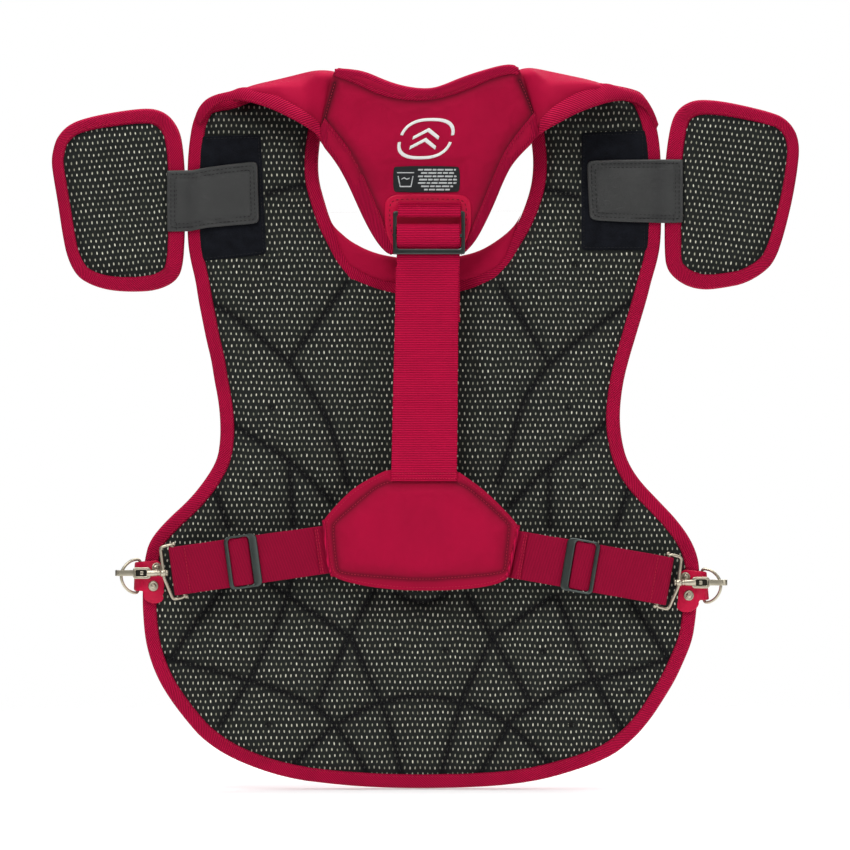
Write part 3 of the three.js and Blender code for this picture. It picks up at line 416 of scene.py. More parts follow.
def attach(obj, carrier, slot, *nodes):
    """Hides the nodes a mesh replaces and hangs the mesh on what carries it: a body's name makes that
    body's empty its parent, while the arguments of a blend between two bodies only bake its
    transform. slot is not used."""
    if nodes:
        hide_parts(*nodes)
    if isinstance(carrier, tuple):
        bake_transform(obj)
    else:
        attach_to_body(obj, carrier)


def two_faced(filled, low, high):
    """Closed body from one triangulation and two heights (low is nearer the wearer)."""
    x, z = filled.points.T
    n = len(x)
    verts = np.vstack([np.c_[x, low, z], np.c_[x, high, z]])
    faces = [tuple(t) for t in filled.faces]
    faces += [(t[0] + n, t[2] + n, t[1] + n) for t in filled.faces]
    for loop in filled.loops:
        for a, b in zip(loop, loop[1:] + loop[:1]):
            faces.append((b, a, a + n, b + n))
    return verts, faces


def sheet(name, filled, low, high, mat, shade=None, cloth=None):
    """A two-faced body whose cloth lies in x-z unless given for one face's points."""
    verts, faces = two_faced(filled, low, high)
    cloth = filled.points if cloth is None else cloth
    return make(name, verts, faces, mat, cloth=np.vstack([cloth, cloth]), recalc=False,
                shade=None if shade is None else np.r_[shade, shade])


def merge(parts):
    verts, faces, n = [], [], 0
    for part_verts, part_faces in parts:
        verts.append(part_verts)
        faces += [tuple(i + n for i in face) for face in part_faces]
        n += len(part_verts)
    return np.vstack(verts), faces


def solid(name, parts, mat, sharp=None):
    verts, faces = merge(parts)
    return make(name, verts, faces, mat, sharp=sharp)


def tube(path, radius, sides, closed=False):
    """Round bar along a 3D path."""
    p = np.asarray(path, float)
    n = len(p)
    t = np.roll(p, -1, 0) - np.roll(p, 1, 0) if closed else np.gradient(p, axis=0)
    t /= np.linalg.norm(t, axis=1)[:, None]
    u = np.zeros_like(t)
    carried = np.array((0.0, 1.0, 0.0))
    if abs(t[0] @ carried) > 0.9:
        carried = np.array((1.0, 0.0, 0.0))
    for i in range(n):
        v = carried - t[i] * (carried @ t[i])
        u[i] = v / max(1e-9, np.linalg.norm(v))
        carried = u[i]
    w = np.cross(t, u)
    verts, faces = [], []
    for i in range(n):
        for j in range(sides):
            a = TAU * j / sides
            verts.append(p[i] + radius * (math.cos(a) * u[i] + math.sin(a) * w[i]))
    for i in range(n if closed else n - 1):
        k = (i + 1) % n
        for j in range(sides):
            m = (j + 1) % sides
            faces.append((i * sides + j, i * sides + m, k * sides + m, k * sides + j))
    if not closed:
        faces.append(tuple(range(sides))[::-1])
        faces.append(tuple((n - 1) * sides + j for j in range(sides)))
    return np.array(verts), faces


def strip(profiles, closed_path=False):
    """Skins equal closed profiles (n, m, 3) into a body; open ends are capped."""
    n, m = profiles.shape[:2]
    faces = []
    for i in range(n if closed_path else n - 1):
        k = (i + 1) % n
        for j in range(m):
            s = (j + 1) % m
            faces.append((i * m + j, k * m + j, k * m + s, i * m + s))
    if not closed_path:
        faces.append(tuple(range(m)))
        faces.append(tuple((n - 1) * m + j for j in range(m))[::-1])
    return profiles.reshape(-1, 3), faces


# Five rings of five vertices make one stitch: place along it (share of its length),
# radius (share of the full radius) and depth (mm).
STITCH_ALONG = np.array([-0.5, -0.36, 0.0, 0.36, 0.5])
STITCH_RADIUS = np.array([0.25, 0.85, 1.0, 0.85, 0.25])
STITCH_SINK = np.array([0.30, 0.05, 0.0, 0.05, 0.30])
STITCH_FACES = [(q * 5 + j, q * 5 + (j + 1) % 5, q * 5 + 5 + (j + 1) % 5, q * 5 + 5 + j)
                for q in range(4) for j in range(5)]
STITCH_FACES += [(4, 3, 2, 1, 0), (20, 21, 22, 23, 24)]


def stitches(name, paths, y_of, mat, pitch, length, radius, lift=0.1, side=-1):
    """Rows of thread stitches along lines in x-z, on y_of(x, z); side is the y
    direction they stand proud in."""
    angle = TAU * np.arange(5) / 5
    parts = []
    for path in paths:
        p = resample(path, pitch, closed=False)
        along = np.diff(p, axis=0)
        along /= np.maximum(1e-9, np.linalg.norm(along, axis=1))[:, None]
        middle = (p[:-1] + p[1:]) / 2
        spots = middle[:, None] + (STITCH_ALONG * length)[None, :, None] * along[:, None]
        y = y_of(spots[..., 0], spots[..., 1]) + side * (lift - STITCH_SINK)
        rad = (STITCH_RADIUS * radius)[None, :, None]
        out = np.cos(angle) * rad
        verts = np.stack([
            spots[..., 0, None] - along[:, 1, None, None] * out,
            y[..., None] + np.sin(angle) * rad,
            spots[..., 1, None] + along[:, 0, None, None] * out,
        ], -1).reshape(-1, 3)
        faces = [tuple(i + base for i in face)
                 for base in range(0, len(verts), 25) for face in STITCH_FACES]
        parts.append((verts, faces))
    return solid(name, parts, mat)


def drape(obj):
    """Height of a finished mesh's wearer-side face: a function of (x, z)."""
    co = np.array([v.co for v in obj.data.vertices]) * 1000.0 - SHIFT
    polygons = [tuple(p.vertices) for p in obj.data.polygons]
    tree = BVHTree.FromPolygons([tuple(p) for p in co], polygons)
    middle = float(co[:, 1].mean())

    def y_of(x, z):
        out = []
        for px, pz in zip(np.ravel(x), np.ravel(z)):
            hit = tree.ray_cast((px, -400.0, pz), (0, 1, 0))[0]
            if hit is None:
                hit = tree.find_nearest((px, middle, pz))[0]
            out.append(hit[1])
        return np.array(out).reshape(np.shape(x))

    return y_of


def relax(filled, y, pinned, pressure, shrink, below, above):
    """Heights y after a cloth simulation of the sheet: pinned points hold, the rest swell, by at most
    below towards the wearer and above away."""
    stiffness = 12.0
    frames = 16
    start = np.c_[filled.points[:, 0], y, filled.points[:, 1]]
    mesh = bpy.data.meshes.new("sim")
    mesh.from_pydata([tuple(p) for p in start / 1000.0], [],
                     [tuple(int(i) for i in f) for f in filled.faces])
    obj = bpy.data.objects.new("sim", mesh)
    scene = bpy.context.scene
    scene.collection.objects.link(obj)
    group = obj.vertex_groups.new(name="pin")
    for i in np.nonzero(pinned)[0]:
        group.add([int(i)], 1.0, "REPLACE")
    cloth = obj.modifiers.new("cloth", "CLOTH")
    settings = cloth.settings
    settings.vertex_group_mass = "pin"
    settings.quality = 5
    settings.mass = 0.25
    settings.air_damping = 2.5
    settings.tension_stiffness = stiffness
    settings.compression_stiffness = stiffness * 0.6
    settings.shear_stiffness = stiffness * 0.4
    settings.bending_stiffness = 0.05
    settings.use_pressure = True
    settings.uniform_pressure_force = pressure
    settings.shrink_min = shrink
    settings.effector_weights.gravity = 0.0
    cloth.collision_settings.use_collision = False
    cloth.collision_settings.use_self_collision = False
    cloth.point_cache.frame_start = 1
    cloth.point_cache.frame_end = frames
    for f in range(1, frames + 1):
        scene.frame_set(f)
    evaluated = obj.evaluated_get(bpy.context.evaluated_depsgraph_get())
    moved = np.array([v.co for v in evaluated.data.vertices]) * 1000.0 - start
    scene.frame_set(1)
    bpy.data.objects.remove(obj)
    bpy.data.meshes.remove(mesh)
    # no point travels further than the larger of the two limits
    cap = max(below, above)
    far = np.linalg.norm(moved, axis=1)
    share = np.where(far > cap, cap / np.maximum(far, 1e-9), 1.0)
    return np.clip(y + moved[:, 1] * share, y - below, y + above)


# ------------------------------------------------------------------ materials
def srgb(*rgb):
    """Linear colour from 0..255 sRGB."""
    def linear(c):
        c /= 255.0
        return c / 12.92 if c <= 0.04045 else ((c + 0.055) / 1.055) ** 2.4
    return tuple(linear(c) for c in rgb) + (1.0,)


def scaled(base, *factors):
    """An sRGB colour times one factor, or one for each channel."""
    factors = factors if len(factors) == 3 else factors * 3
    return srgb(*(min(255, c * f) for c, f in zip(base, factors)))


class Shader:
    """A material with a principled shader, and short ways to write its nodes."""

    def __init__(self, name):
        self.mat = bpy.data.materials.new(name)
        self.mat.use_nodes = True
        self.tree = self.mat.node_tree
        self.tree.nodes.clear()
        output = self.node("OutputMaterial")
        self.surface = self.node("BsdfPrincipled")
        self.tree.links.new(self.surface.outputs[0], output.inputs[0])

    def node(self, kind, **settings):
        made = self.tree.nodes.new("ShaderNode" + kind)
        for key, value in settings.items():
            setattr(made, key, value)
        return made

    def put(self, socket, value):
        if isinstance(value, bpy.types.NodeSocket):
            self.tree.links.new(value, socket)
        else:
            socket.default_value = value

    def math(self, operation, a, b=None, clamp=False):
        made = self.node("Math", operation=operation, use_clamp=clamp)
        self.put(made.inputs[0], a)
        if b is not None:
            self.put(made.inputs[1], b)
        return made.outputs[0]

    def add(self, a, b, clamp=False):
        return self.math("ADD", a, b, clamp)

    def sub(self, a, b):
        return self.math("SUBTRACT", a, b)

    def mul(self, a, b):
        return self.math("MULTIPLY", a, b)

    def wave(self, coordinate, pitch):
        return self.math("SINE", self.mul(coordinate, TAU / pitch))

    def rib(self, coordinate, pitch):
        """A wave in 0..1."""
        return self.add(self.mul(self.wave(coordinate, pitch), 0.5), 0.5)

    def mix(self, factor, a, b):
        made = self.node("Mix", data_type="RGBA")
        self.put(made.inputs["Factor"], factor)
        self.put(made.inputs[6], a)
        self.put(made.inputs[7], b)
        return made.outputs[2]

    def cloth(self):
        return self.node("Attribute", attribute_name="cloth").outputs["Vector"]

    def split(self, vector):
        made = self.node("SeparateXYZ")
        self.put(made.inputs[0], vector)
        return made.outputs[0], made.outputs[1]

    def position(self):
        return self.node("TexCoord").outputs["Object"]

    def noise(self, vector, scale, detail=2.0, rough=0.5):
        made = self.node("TexNoise")
        self.put(made.inputs["Vector"], vector)
        made.inputs["Scale"].default_value = scale
        made.inputs["Detail"].default_value = detail
        made.inputs["Roughness"].default_value = rough
        return made.outputs[0]

    def cells(self, vector, scale, **settings):
        made = self.node("TexVoronoi", **settings)
        self.put(made.inputs["Vector"], vector)
        made.inputs["Scale"].default_value = scale
        return made.outputs["Distance"]

    def ramp(self, value, start, end):
        """0 at start, 1 at end."""
        made = self.node("MapRange", interpolation_type="SMOOTHSTEP")
        self.put(made.inputs[0], value)
        made.inputs[1].default_value = start
        made.inputs[2].default_value = end
        return made.outputs[0]

    def bump(self, height, distance, strength=1.0):
        made = self.node("Bump")
        made.inputs["Strength"].default_value = strength
        made.inputs["Distance"].default_value = distance
        self.put(made.inputs["Height"], height)
        return made.outputs[0]

    def done(self, color, rough, normal, metallic=0.0, sheen=0.0, sheen_tint=None, spec=None,
             coat=0.0):
        """Sets the surface; a per-vertex attribute of painted shade, which also holds dark seam
        lines, draws the colour to near black.
        """
        # painted shade: base colour drawn towards near black where shade falls
        dark_seam_and_painted_shade = self.node("Attribute", attribute_name="dark_seam_and_painted_shade").outputs["Fac"]
        inputs = self.surface.inputs
        self.put(inputs["Base Color"], self.mix(dark_seam_and_painted_shade, color, (0.004, 0.004, 0.005, 1.0)))
        self.put(inputs["Roughness"], rough)
        self.put(inputs["Metallic"], metallic)
        self.put(inputs["Normal"], normal)
        if sheen:
            inputs["Sheen Weight"].default_value = sheen
            inputs["Sheen Roughness"].default_value = 0.45
            if sheen_tint:
                inputs["Sheen Tint"].default_value = sheen_tint
        if spec is not None:
            inputs["Specular IOR Level"].default_value = spec
        if coat:
            inputs["Coat Weight"].default_value = coat
            inputs["Coat Roughness"].default_value = 0.25
        return self.mat


SHEEN_RED = srgb(235, 60, 95)


def fabric(name, base):
    """Fine plain weave."""
    s = Shader(name)
    vec = s.cloth()
    u, v = s.split(vec)
    thread_pitch = 0.00085
    weave = s.mul(s.wave(u, thread_pitch), s.wave(v, thread_pitch))
    fine = s.noise(vec, scale=2600.0, rough=0.7)
    broad = s.noise(vec, scale=26.0, detail=3.0, rough=0.55)
    tone = s.add(s.mul(s.sub(broad, 0.5), 0.55), s.mul(s.sub(fine, 0.5), 0.55))
    color = s.mix(s.add(0.5, tone, clamp=True),
                  scaled(base, 0.83, 0.72, 0.82), scaled(base, 1.12, 1.25, 1.13))
    height = s.add(s.mul(weave, 0.3), s.mul(fine, 0.8))
    return s.done(color, rough=0.84, normal=s.bump(height, distance=0.00016, strength=0.8),
                  sheen=0.07, sheen_tint=SHEEN_RED, spec=0.12)


def rib_tone(s, vec, rib, fine, broad_scale):
    """Colour factor of a ribbed tape, with fine and broad variation."""
    broad = s.noise(vec, scale=broad_scale, detail=3.0)
    variation = s.add(s.mul(fine, 0.26), s.mul(broad, 0.3))
    return s.add(s.mul(rib, 0.62), variation, clamp=True)


def twill_tape():
    """Binding tape with slanting ribs: cloth u runs along the tape, v across it."""
    s = Shader("twill_tape")
    vec = s.cloth()
    u, v = s.split(vec)
    wobble = s.noise(vec, scale=150.0)
    slant = s.add(s.add(s.mul(u, 1.0), s.mul(v, 1.15)), s.mul(wobble, 0.0006))
    rib = s.rib(slant, pitch=0.0021)
    fine = s.noise(vec, scale=2200.0, rough=0.7)
    color = s.mix(rib_tone(s, vec, rib, fine, broad_scale=30.0),
                  srgb(78, 0, 24), srgb(212, 13, 73))
    height = s.add(rib, s.mul(fine, 0.45))
    return s.done(color, rough=0.86, normal=s.bump(height, distance=0.0006),
                  sheen=0.06, sheen_tint=SHEEN_RED, spec=0.12)


def elastic_webbing(name, pitch, depth, base, slant=0.0):
    """Elastic with ribs across its length; u runs across the strap, v along it."""
    s = Shader(name)
    vec = s.cloth()
    u, v = s.split(vec)
    run = s.add(v, s.mul(u, slant))
    wobble = s.noise(vec, scale=90.0)
    rib = s.rib(s.add(run, s.mul(wobble, 0.0004)), pitch)
    knit = s.rib(u, pitch=0.0011)
    fine = s.noise(vec, scale=2400.0, rough=0.7)
    color = s.mix(rib_tone(s, vec, rib, fine, broad_scale=34.0),
                  scaled(base, 0.66, 0.4, 0.62), scaled(base, 1.14, 1.2, 1.16))
    height = s.add(rib, s.add(s.mul(knit, 0.25), s.mul(fine, 0.5)))
    return s.done(color, rough=0.86, normal=s.bump(height, distance=depth, strength=0.9),
                  sheen=0.06, sheen_tint=SHEEN_RED, spec=0.12)


def mesh_cloth():
    """Knitted mesh over pale foam: staggered rows of small upright oval holes."""
    s = Shader("mesh_fabric")
    pitch_u, pitch_v = 0.00403, 0.0049
    hole_u, hole_v = 0.00056, 0.00122   # half axes of a hole
    drift = 0.0035                      # how far the rows wander
    vec = s.cloth()
    u, v = s.split(vec)
    wobble_u = s.noise(vec, scale=38.0)
    wobble_v = s.noise(vec, scale=61.0)
    u = s.add(u, s.mul(s.sub(wobble_u, 0.5), drift))
    v = s.add(v, s.mul(s.sub(wobble_v, 0.5), drift))
    row = s.math("FLOOR", s.math("DIVIDE", v, pitch_v))
    # every second row is half a pitch over; 1000 keeps the row number positive
    stagger = s.mul(s.math("MODULO", s.add(row, 1000.0), 2.0), 0.5)
    columns = s.add(s.math("DIVIDE", u, pitch_u), stagger)
    column = s.math("FLOOR", columns)
    across = s.mul(s.sub(s.sub(columns, column), 0.5), pitch_u / hole_u)
    up = s.mul(s.sub(s.sub(s.math("DIVIDE", v, pitch_v), row), 0.5), pitch_v / hole_v)
    radius = s.math("SQRT", s.add(s.mul(across, across), s.mul(up, up)))
    hole = s.ramp(radius, start=1.15, end=0.72)
    cell = s.node("CombineXYZ")
    s.put(cell.inputs[0], column)
    s.put(cell.inputs[1], row)
    random = s.node("TexWhiteNoise")
    s.put(random.inputs[0], cell.outputs[0])
    fine = s.noise(vec, scale=1700.0, detail=3.0, rough=0.7)
    broad = s.noise(vec, scale=20.0)
    yarn = s.mix(s.add(s.mul(fine, 0.75), s.mul(broad, 0.25)), srgb(13, 15, 15), srgb(46, 49, 46))
    foam = s.mix(random.outputs[0], srgb(150, 151, 132), srgb(232, 231, 212))
    rib = s.rib(u, pitch=0.00134)
    color = s.mix(hole, yarn, foam)
    rim = s.ramp(radius, start=1.9, end=1.1)
    height = s.sub(s.add(s.mul(rib, 0.35), s.mul(fine, 0.55)), s.mul(hole, 1.2))
    height = s.add(height, s.mul(rim, 0.45))
    return s.done(color, rough=0.9, normal=s.bump(height, distance=0.00035, strength=0.9),
                  sheen=0.04, spec=0.12)


def pile(name, base):
    """Hook or loop pile."""
    s = Shader(name)
    vec = s.cloth()
    fine = s.noise(vec, scale=800.0, detail=5.0, rough=0.85)
    broad = s.noise(vec, scale=120.0, detail=3.0)
    tone = s.add(s.mul(fine, 0.8), s.mul(s.sub(broad, 0.5), 0.6), clamp=True)
    color = s.mix(tone, scaled(base, 0.2), scaled(base, 2.7))
    return s.done(color, rough=1.0, normal=s.bump(fine, distance=0.0007), sheen=0.1, spec=0.06)


def leather(name, base, rough, grain, depth, coat=0.0, spec=0.5):
    """Coated cloth with fine pores; grain is their scale, depth the bump's."""
    s = Shader(name)
    vec = s.cloth()
    edge = s.cells(vec, grain, feature="DISTANCE_TO_EDGE")
    pores = s.ramp(edge, start=0.0, end=0.12)
    fine = s.noise(vec, scale=1800.0, detail=3.0, rough=0.6)
    broad = s.noise(vec, scale=35.0, detail=3.0)
    tone = s.add(s.mul(broad, 0.7), s.mul(fine, 0.3), clamp=True)
    color = s.mix(tone, scaled(base, 0.82), scaled(base, 1.16))
    roughness = s.add(rough - 0.06, s.mul(fine, 0.14))
    height = s.add(pores, s.mul(fine, 0.4))
    return s.done(color, roughness, normal=s.bump(height, distance=depth, strength=0.7),
                  spec=spec, coat=coat)


def metal(name, base, rough):
    s = Shader(name)
    vec = s.position()
    broad = s.noise(vec, scale=160.0, detail=3.0)
    fine = s.noise(vec, scale=2500.0)
    color = s.mix(broad, scaled(base, 0.9), scaled(base, 1.06))
    roughness = s.add(rough, s.mul(s.sub(broad, 0.5), 0.1))
    return s.done(color, roughness, normal=s.bump(fine, distance=0.000002, strength=0.1),
                  metallic=1.0)


def foam_material():
    s = Shader("foam")
    vec = s.position()
    bubbles = s.cells(vec, scale=700.0)
    broad = s.noise(vec, scale=30.0, detail=3.0)
    color = s.mix(broad, srgb(205, 200, 180), srgb(232, 228, 212))
    return s.done(color, rough=0.95, normal=s.bump(bubbles, distance=0.0004, strength=0.8),
                  spec=0.1)


def plain(name, base, rough):
    """Thread, label cloth and print."""
    s = Shader(name)
    fine = s.noise(s.cloth(), scale=1600.0)
    color = s.mix(fine, scaled(base, 0.93), scaled(base, 1.03))
    return s.done(color, rough, normal=s.bump(fine, distance=0.00006, strength=0.5), spec=0.3)


RED = fabric("crimson_fabric", base=(168, 7, 54))
TWILL = twill_tape()
WEB_BACK = elastic_webbing("elastic_webbing_back", pitch=0.00185, depth=0.0006, base=(184, 8, 60))
WEB_SIDE = elastic_webbing("elastic_webbing_side", pitch=0.0013, depth=0.0002,
                           base=(143, 5, 47), slant=0.35)
MESH = mesh_cloth()
LOOPS = pile("loop_pile", base=(13, 14, 17))
HOOKS = pile("hook_pile", base=(30, 30, 33))
COATED_RED = leather("coated_fabric", base=(196, 10, 60), rough=0.34, grain=1400.0,
                     depth=0.00005, coat=0.03, spec=0.2)
LEATHER_BLACK = leather("synthetic_leather", base=(50, 51, 50), rough=0.36, grain=1100.0,
                        depth=0.00012)
CHARCOAL = fabric("charcoal_fabric", base=(44, 46, 48))
GUNMETAL = metal("gunmetal", base=(80, 87, 84), rough=0.36)
NICKEL = metal("nickel", base=(190, 182, 162), rough=0.38)
FOAM = foam_material()
THREAD = plain("thread_red", base=(176, 12, 54), rough=0.6)
THREAD_DARK = plain("thread_dark", base=(92, 6, 28), rough=0.7)
THREAD_BLACK = plain("thread_black", base=(14, 14, 15), rough=0.6)
THREAD_CHARCOAL = plain("thread_charcoal", base=(30, 31, 32), rough=0.8)
LABEL_BLACK = plain("label", base=(22, 26, 28), rough=0.55)
PRINT_WHITE = plain("print_white", base=(240, 238, 236), rough=0.5)
PRINT_GREY = plain("print_grey", base=(196, 200, 200), rough=0.5)
# painted shade: dark metal that fills the snap hook's trigger slot in place of the shade inside it
RECESS_SHADE_METAL = metal("painted_recess_shade", base=(52, 50, 46), rough=0.5)


# ------------------------------------------------------------------ panel outline and seams
# (x, z), clockwise from the left shoulder's outer corner
PANEL_OUTLINE = [
    (-182.4, 544), (-177.6, 551.2), (-167.2, 554.4), (-155.2, 556), (-145.6, 560.8),
    (-120.8, 566.4), (-88.8, 573.6), (-73.6, 575.2), (-78.4, 552), (-84, 523.2), (-86, 504),
    (-85.2, 488), (-80.8, 472), (-75.6, 455.2), (-67.2, 440), (-57.6, 425.6), (-42.4, 415.6),
    (-24, 409.6), (-1.6, 408), (21.6, 409.6), (40, 415.6), (53.6, 424.8), (64, 437.6),
    (74.4, 453.6), (80.8, 468.8), (85.6, 484.8), (87.2, 502.4), (85.6, 519.2), (81.6, 548),
    (76.8, 576), (85.6, 576), (110.4, 570.4), (143.2, 566.4), (167.2, 561.6), (175.2, 557.6),
    (180.8, 546.4), (185.6, 532), (188, 518.4), (189.2, 502.4), (189.6, 472), (189.2, 440),
    (186.4, 424), (181.6, 408), (177.6, 392), (172.8, 376), (168, 360), (163.2, 344),
    (159.2, 328), (156.8, 312), (156, 296), (157.6, 280), (161.6, 264), (171.2, 248),
    (186.4, 232), (201.6, 216), (212.8, 200), (218.8, 184), (219.2, 168), (217.6, 152),
    (216, 136), (213.6, 120), (207.2, 104), (200, 88), (190.4, 72), (180, 56), (166.4, 40),
    (145.6, 24), (100.8, 8.8), (66.4, 3.2), (34.4, 1.12), (0, 0.48), (-34.4, 0.96), (-68, 3.2),
    (-112, 8.8), (-153.6, 24), (-177.6, 40), (-191.2, 56), (-203.2, 72), (-212.8, 88),
    (-219.2, 104), (-223.2, 120), (-224.8, 136), (-225.6, 152), (-225.2, 168), (-224, 184),
    (-220, 200), (-206.4, 216), (-188.8, 232), (-176, 248), (-166.4, 264), (-164, 280),
    (-164, 296), (-165.6, 312), (-168.8, 328), (-171.2, 344), (-175.2, 360), (-178.4, 376),
    (-181.6, 392), (-184, 408), (-188, 424), (-190.4, 440), (-190.8, 472), (-190.4, 502.4),
    (-188.8, 520), (-186.4, 534.4),
]
# Corners (x, z) of the loop patches at the arm openings.
PATCHES = {
    "left": np.array([(-188, 523.2), (-131.6, 524.96), (-127.2, 428.8), (-184.8, 422.4)]),
    "right": np.array([(125.28, 526.4), (186.4, 528.4), (186.4, 432), (125.28, 432)]),
}
# Quilting seams (x, z) of the lining, sewn through to the cover.
SEAMS = [
    [(-170.4, 389.6), (-148, 376), (-109.6, 342.4)],
    [(-62.4, 406.4), (-85.6, 374.4), (-109.6, 342.4)],
    [(-109.6, 342.4), (-90.4, 316.8), (-77.6, 296), (-68, 267.2), (-61.6, 244)],
    [(-154.4, 292.8), (-132, 278.4), (-110.4, 264.8), (-90.4, 246.4), (-73.6, 228.8)],
    [(-109.6, 264), (-107.2, 240), (-105.6, 211.2)],
    [(-167.2, 237.6), (-162.4, 222.4), (-157.6, 209.6)],
    [(60, 404), (80.8, 372), (100, 340.8)],
    [(164.8, 390.4), (120.8, 358.4), (100, 340.8)],
    [(100, 340.8), (90.4, 329.6), (77.6, 308.8), (68, 273.6), (58.4, 244.8)],
    [(145.6, 293.6), (124, 276), (100, 259.2), (84, 243.2), (67.2, 225.6)],
    [(100, 259.2), (99.2, 234.4), (100, 209.6)],
    [(162.4, 240), (157.6, 224), (152.8, 209.6)],
    [(-131.52, 476), (-115.2, 480.8), (-99.2, 484), (-80, 484.8)],
    [(84, 484.8), (100.8, 480.8), (125.28, 474.4)],
    [(-161.6, 161.6), (-183.2, 134.4), (-203.2, 104.8)],
    [(-220, 110.4), (-197.6, 103.2), (-143.2, 88), (-117.6, 80), (-87.2, 65.6), (-72.8, 52.8),
     (-47.2, 16), (-42.4, -1.6)],
    [(-108, 169.6), (-110.4, 152), (-125.6, 118.4), (-140, 88), (-152, 69.6), (-164, 51.2)],
    [(-125.6, 166.4), (-93.6, 144), (-61.6, 122.4)],
    [(-40.8, 160), (-51.2, 141.6), (-60.8, 122.4), (-73.6, 95.2), (-87.2, 65.6)],
    [(-58.4, 120), (-47.2, 94.4), (-36, 70.4), (-28, 51.2), (-19.2, 12.8), (-16.8, -1.6)],
    [(-72.8, 51.2), (-104.8, 20.8), (-116, 4)],
    [(-69.6, 52.8), (-44, 66.4), (-32.8, 69.6), (-12, 74.4), (4, 74.4), (25.6, 70.4),
     (45.6, 64), (66.4, 52.8), (100.8, 20.8), (112.8, 6.4)],
    [(-23.6, 157.6), (-13.6, 152), (-2.4, 148.8), (8.8, 152), (17.6, 156.8)],
    [(33.6, 156.8), (44, 139.2), (53.6, 121.6), (69.6, 95.2), (84.8, 69.6)],
    [(102.4, 155.2), (79.2, 139.2), (55.2, 123.6)],
    [(53.6, 120), (42.4, 97.6), (30.4, 74.4), (27.2, 63.2), (14.4, 17.6), (10.4, -3.2)],
    [(105.6, 155.2), (118.8, 123.6), (135.2, 88), (146.4, 68), (157.6, 48.8), (168.8, 36)],
    [(164.8, 151.2), (180, 128), (195.2, 104)],
    [(213.6, 112), (193.6, 104.8), (168, 96), (136.8, 88), (110.4, 79.2), (86.4, 66.4),
     (68, 55.2), (66.4, 48.8), (47.2, 17.6), (36, -1.6)],
]
# Further seams (x, z) that part the outer pads.
OUTER_EXTRA = [
    [(-61.6, 244), (-52, 216), (-40.8, 160)], [(58.4, 244.8), (48.8, 216), (33.6, 156.8)],
    [(-105.6, 211.2), (-106.4, 190.4), (-108, 169.6)],
    [(100, 209.6), (100.8, 184), (102.4, 155.2)],
    [(-73.6, 228.8), (-58.4, 220.8), (-53.6, 217.6)], [(67.2, 225.6), (55.2, 219.2), (49.6, 216)],
    [(-61.6, 244), (-31.2, 236), (0, 233.6), (29.6, 236), (58.4, 244.8)],
    [(-157.6, 209.6), (-157.6, 185.6), (-161.6, 161.6)],
    [(152.8, 209.6), (157.6, 184), (164.8, 151.2)],
    [(-40.8, 160), (-32.8, 160), (-23.6, 157.6)], [(17.6, 156.8), (25.6, 158.4), (33.6, 156.8)],
    [(-161.6, 161.6), (-133.6, 171.2), (-108, 169.6)],
    [(-125.6, 166.4), (-114.4, 169.6), (-105.6, 168)],
    [(102.4, 155.2), (133.6, 156.8), (164.8, 151.2)],
    [(-131.52, 476), (-156, 469.6), (-183.2, 462.4)],
    [(125.28, 474.4), (152, 468.8), (181.6, 462.4)],
    [(-62.4, 406.4), (-58.4, 417.6)], [(60, 404), (56.8, 416)],
    [(-109.6, 342.4), (-58.4, 334.4), (-20, 305.6)], [(100, 340.8), (58.4, 332.8), (20.8, 305.6)],
    [(-20, 269.6), (-31.2, 256), (-42.4, 240)], [(20, 269.6), (29.6, 256), (39.2, 241.6)],
    [(-157.6, 209.6), (-162.4, 222.4), (-176, 234.4)],
    [(152.8, 209.6), (157.6, 224), (168.8, 234.4)],
    [(164.8, 151.2), (184, 155.2), (208.8, 160)], [(-161.6, 161.6), (-188, 156.8), (-215.2, 152)],
]
# Faint creases of the lining.
FAINT = [
    [(-46.4, 340), (-53.6, 312), (-60.8, 278.4)], [(39.2, 340), (48.8, 312), (55.2, 278.4)],
]
# Bar tacks inside the pads.
TACKS = [
    (-128, 420), (120, 420.8), (-123.2, 306.4), (113.6, 306.4), (-136, 244.8), (126.4, 243.2),
    (-151.2, 131.2), (-100, 108.8), (-23.2, 111.2), (-172, 78.4), (-125.6, 52), (16, 111.2),
    (94.4, 110.4), (143.2, 132), (163.2, 79.2), (116.8, 52),
]

OUTLINE = counter_clockwise(soft_ring(PANEL_OUTLINE, 2.4))
OUTLINE_SEGS = closed_segs(resample(OUTLINE, 5))
SEAM_LINES = [soft_line(s, 2.6) for s in SEAMS]
SEAM_SEGS = all_segs(SEAM_LINES)
OUTER_LINES = SEAM_LINES + [soft_line(s, 2.6) for s in OUTER_EXTRA]
OUTER_SEGS = all_segs(OUTER_LINES)
FAINT_SEGS = all_segs([soft_line(s, 6) for s in FAINT])


def flat_points(x, z):
    return np.stack([np.ravel(x), np.ravel(z)], 1)


def lining_relief(x, z):
    """How far the quilted lining stands towards the wearer, over its seams."""
    p = flat_points(x, z)
    px, pz = p.T
    to_seam = seg_dist(p, SEAM_SEGS)
    rim = smooth((seg_dist(p, OUTLINE_SEGS) - 8.5) / 9)
    faint = 1 - 0.35 * bell(seg_dist(p, FAINT_SEGS), 5)
    tack = 1 - 0.55 * bell(spot_dist(p, TACKS), 3.4)
    pillow = 1.0 + 0.35 * smooth(to_seam / 32)
    h = 4.4 * ditch(to_seam, 4.6, 1.25) * rim * faint * tack * pillow
    # puckers that run out from the seams
    near = bell(to_seam - 4.5, 5.5) * rim
    h += near * (0.34 * noise(px, pz, 5.5, 1) + 0.2 * noise(px, pz, 3.2, 2))
    h += 0.45 * rim * noise(px, pz, 31, 3) + 0.16 * rim * noise(px, pz, 11, 4)
    # pressed flat under the sewn loop patches
    for patch in PATCHES.values():
        clear = smooth(poly_gap(patch, p) / 6)
        h = h * clear + 1.0 * (1 - clear)
    return h.reshape(np.shape(x))


def lining_y(x, z):
    return inner_y(x, z) + 1.0 - lining_relief(x, z)


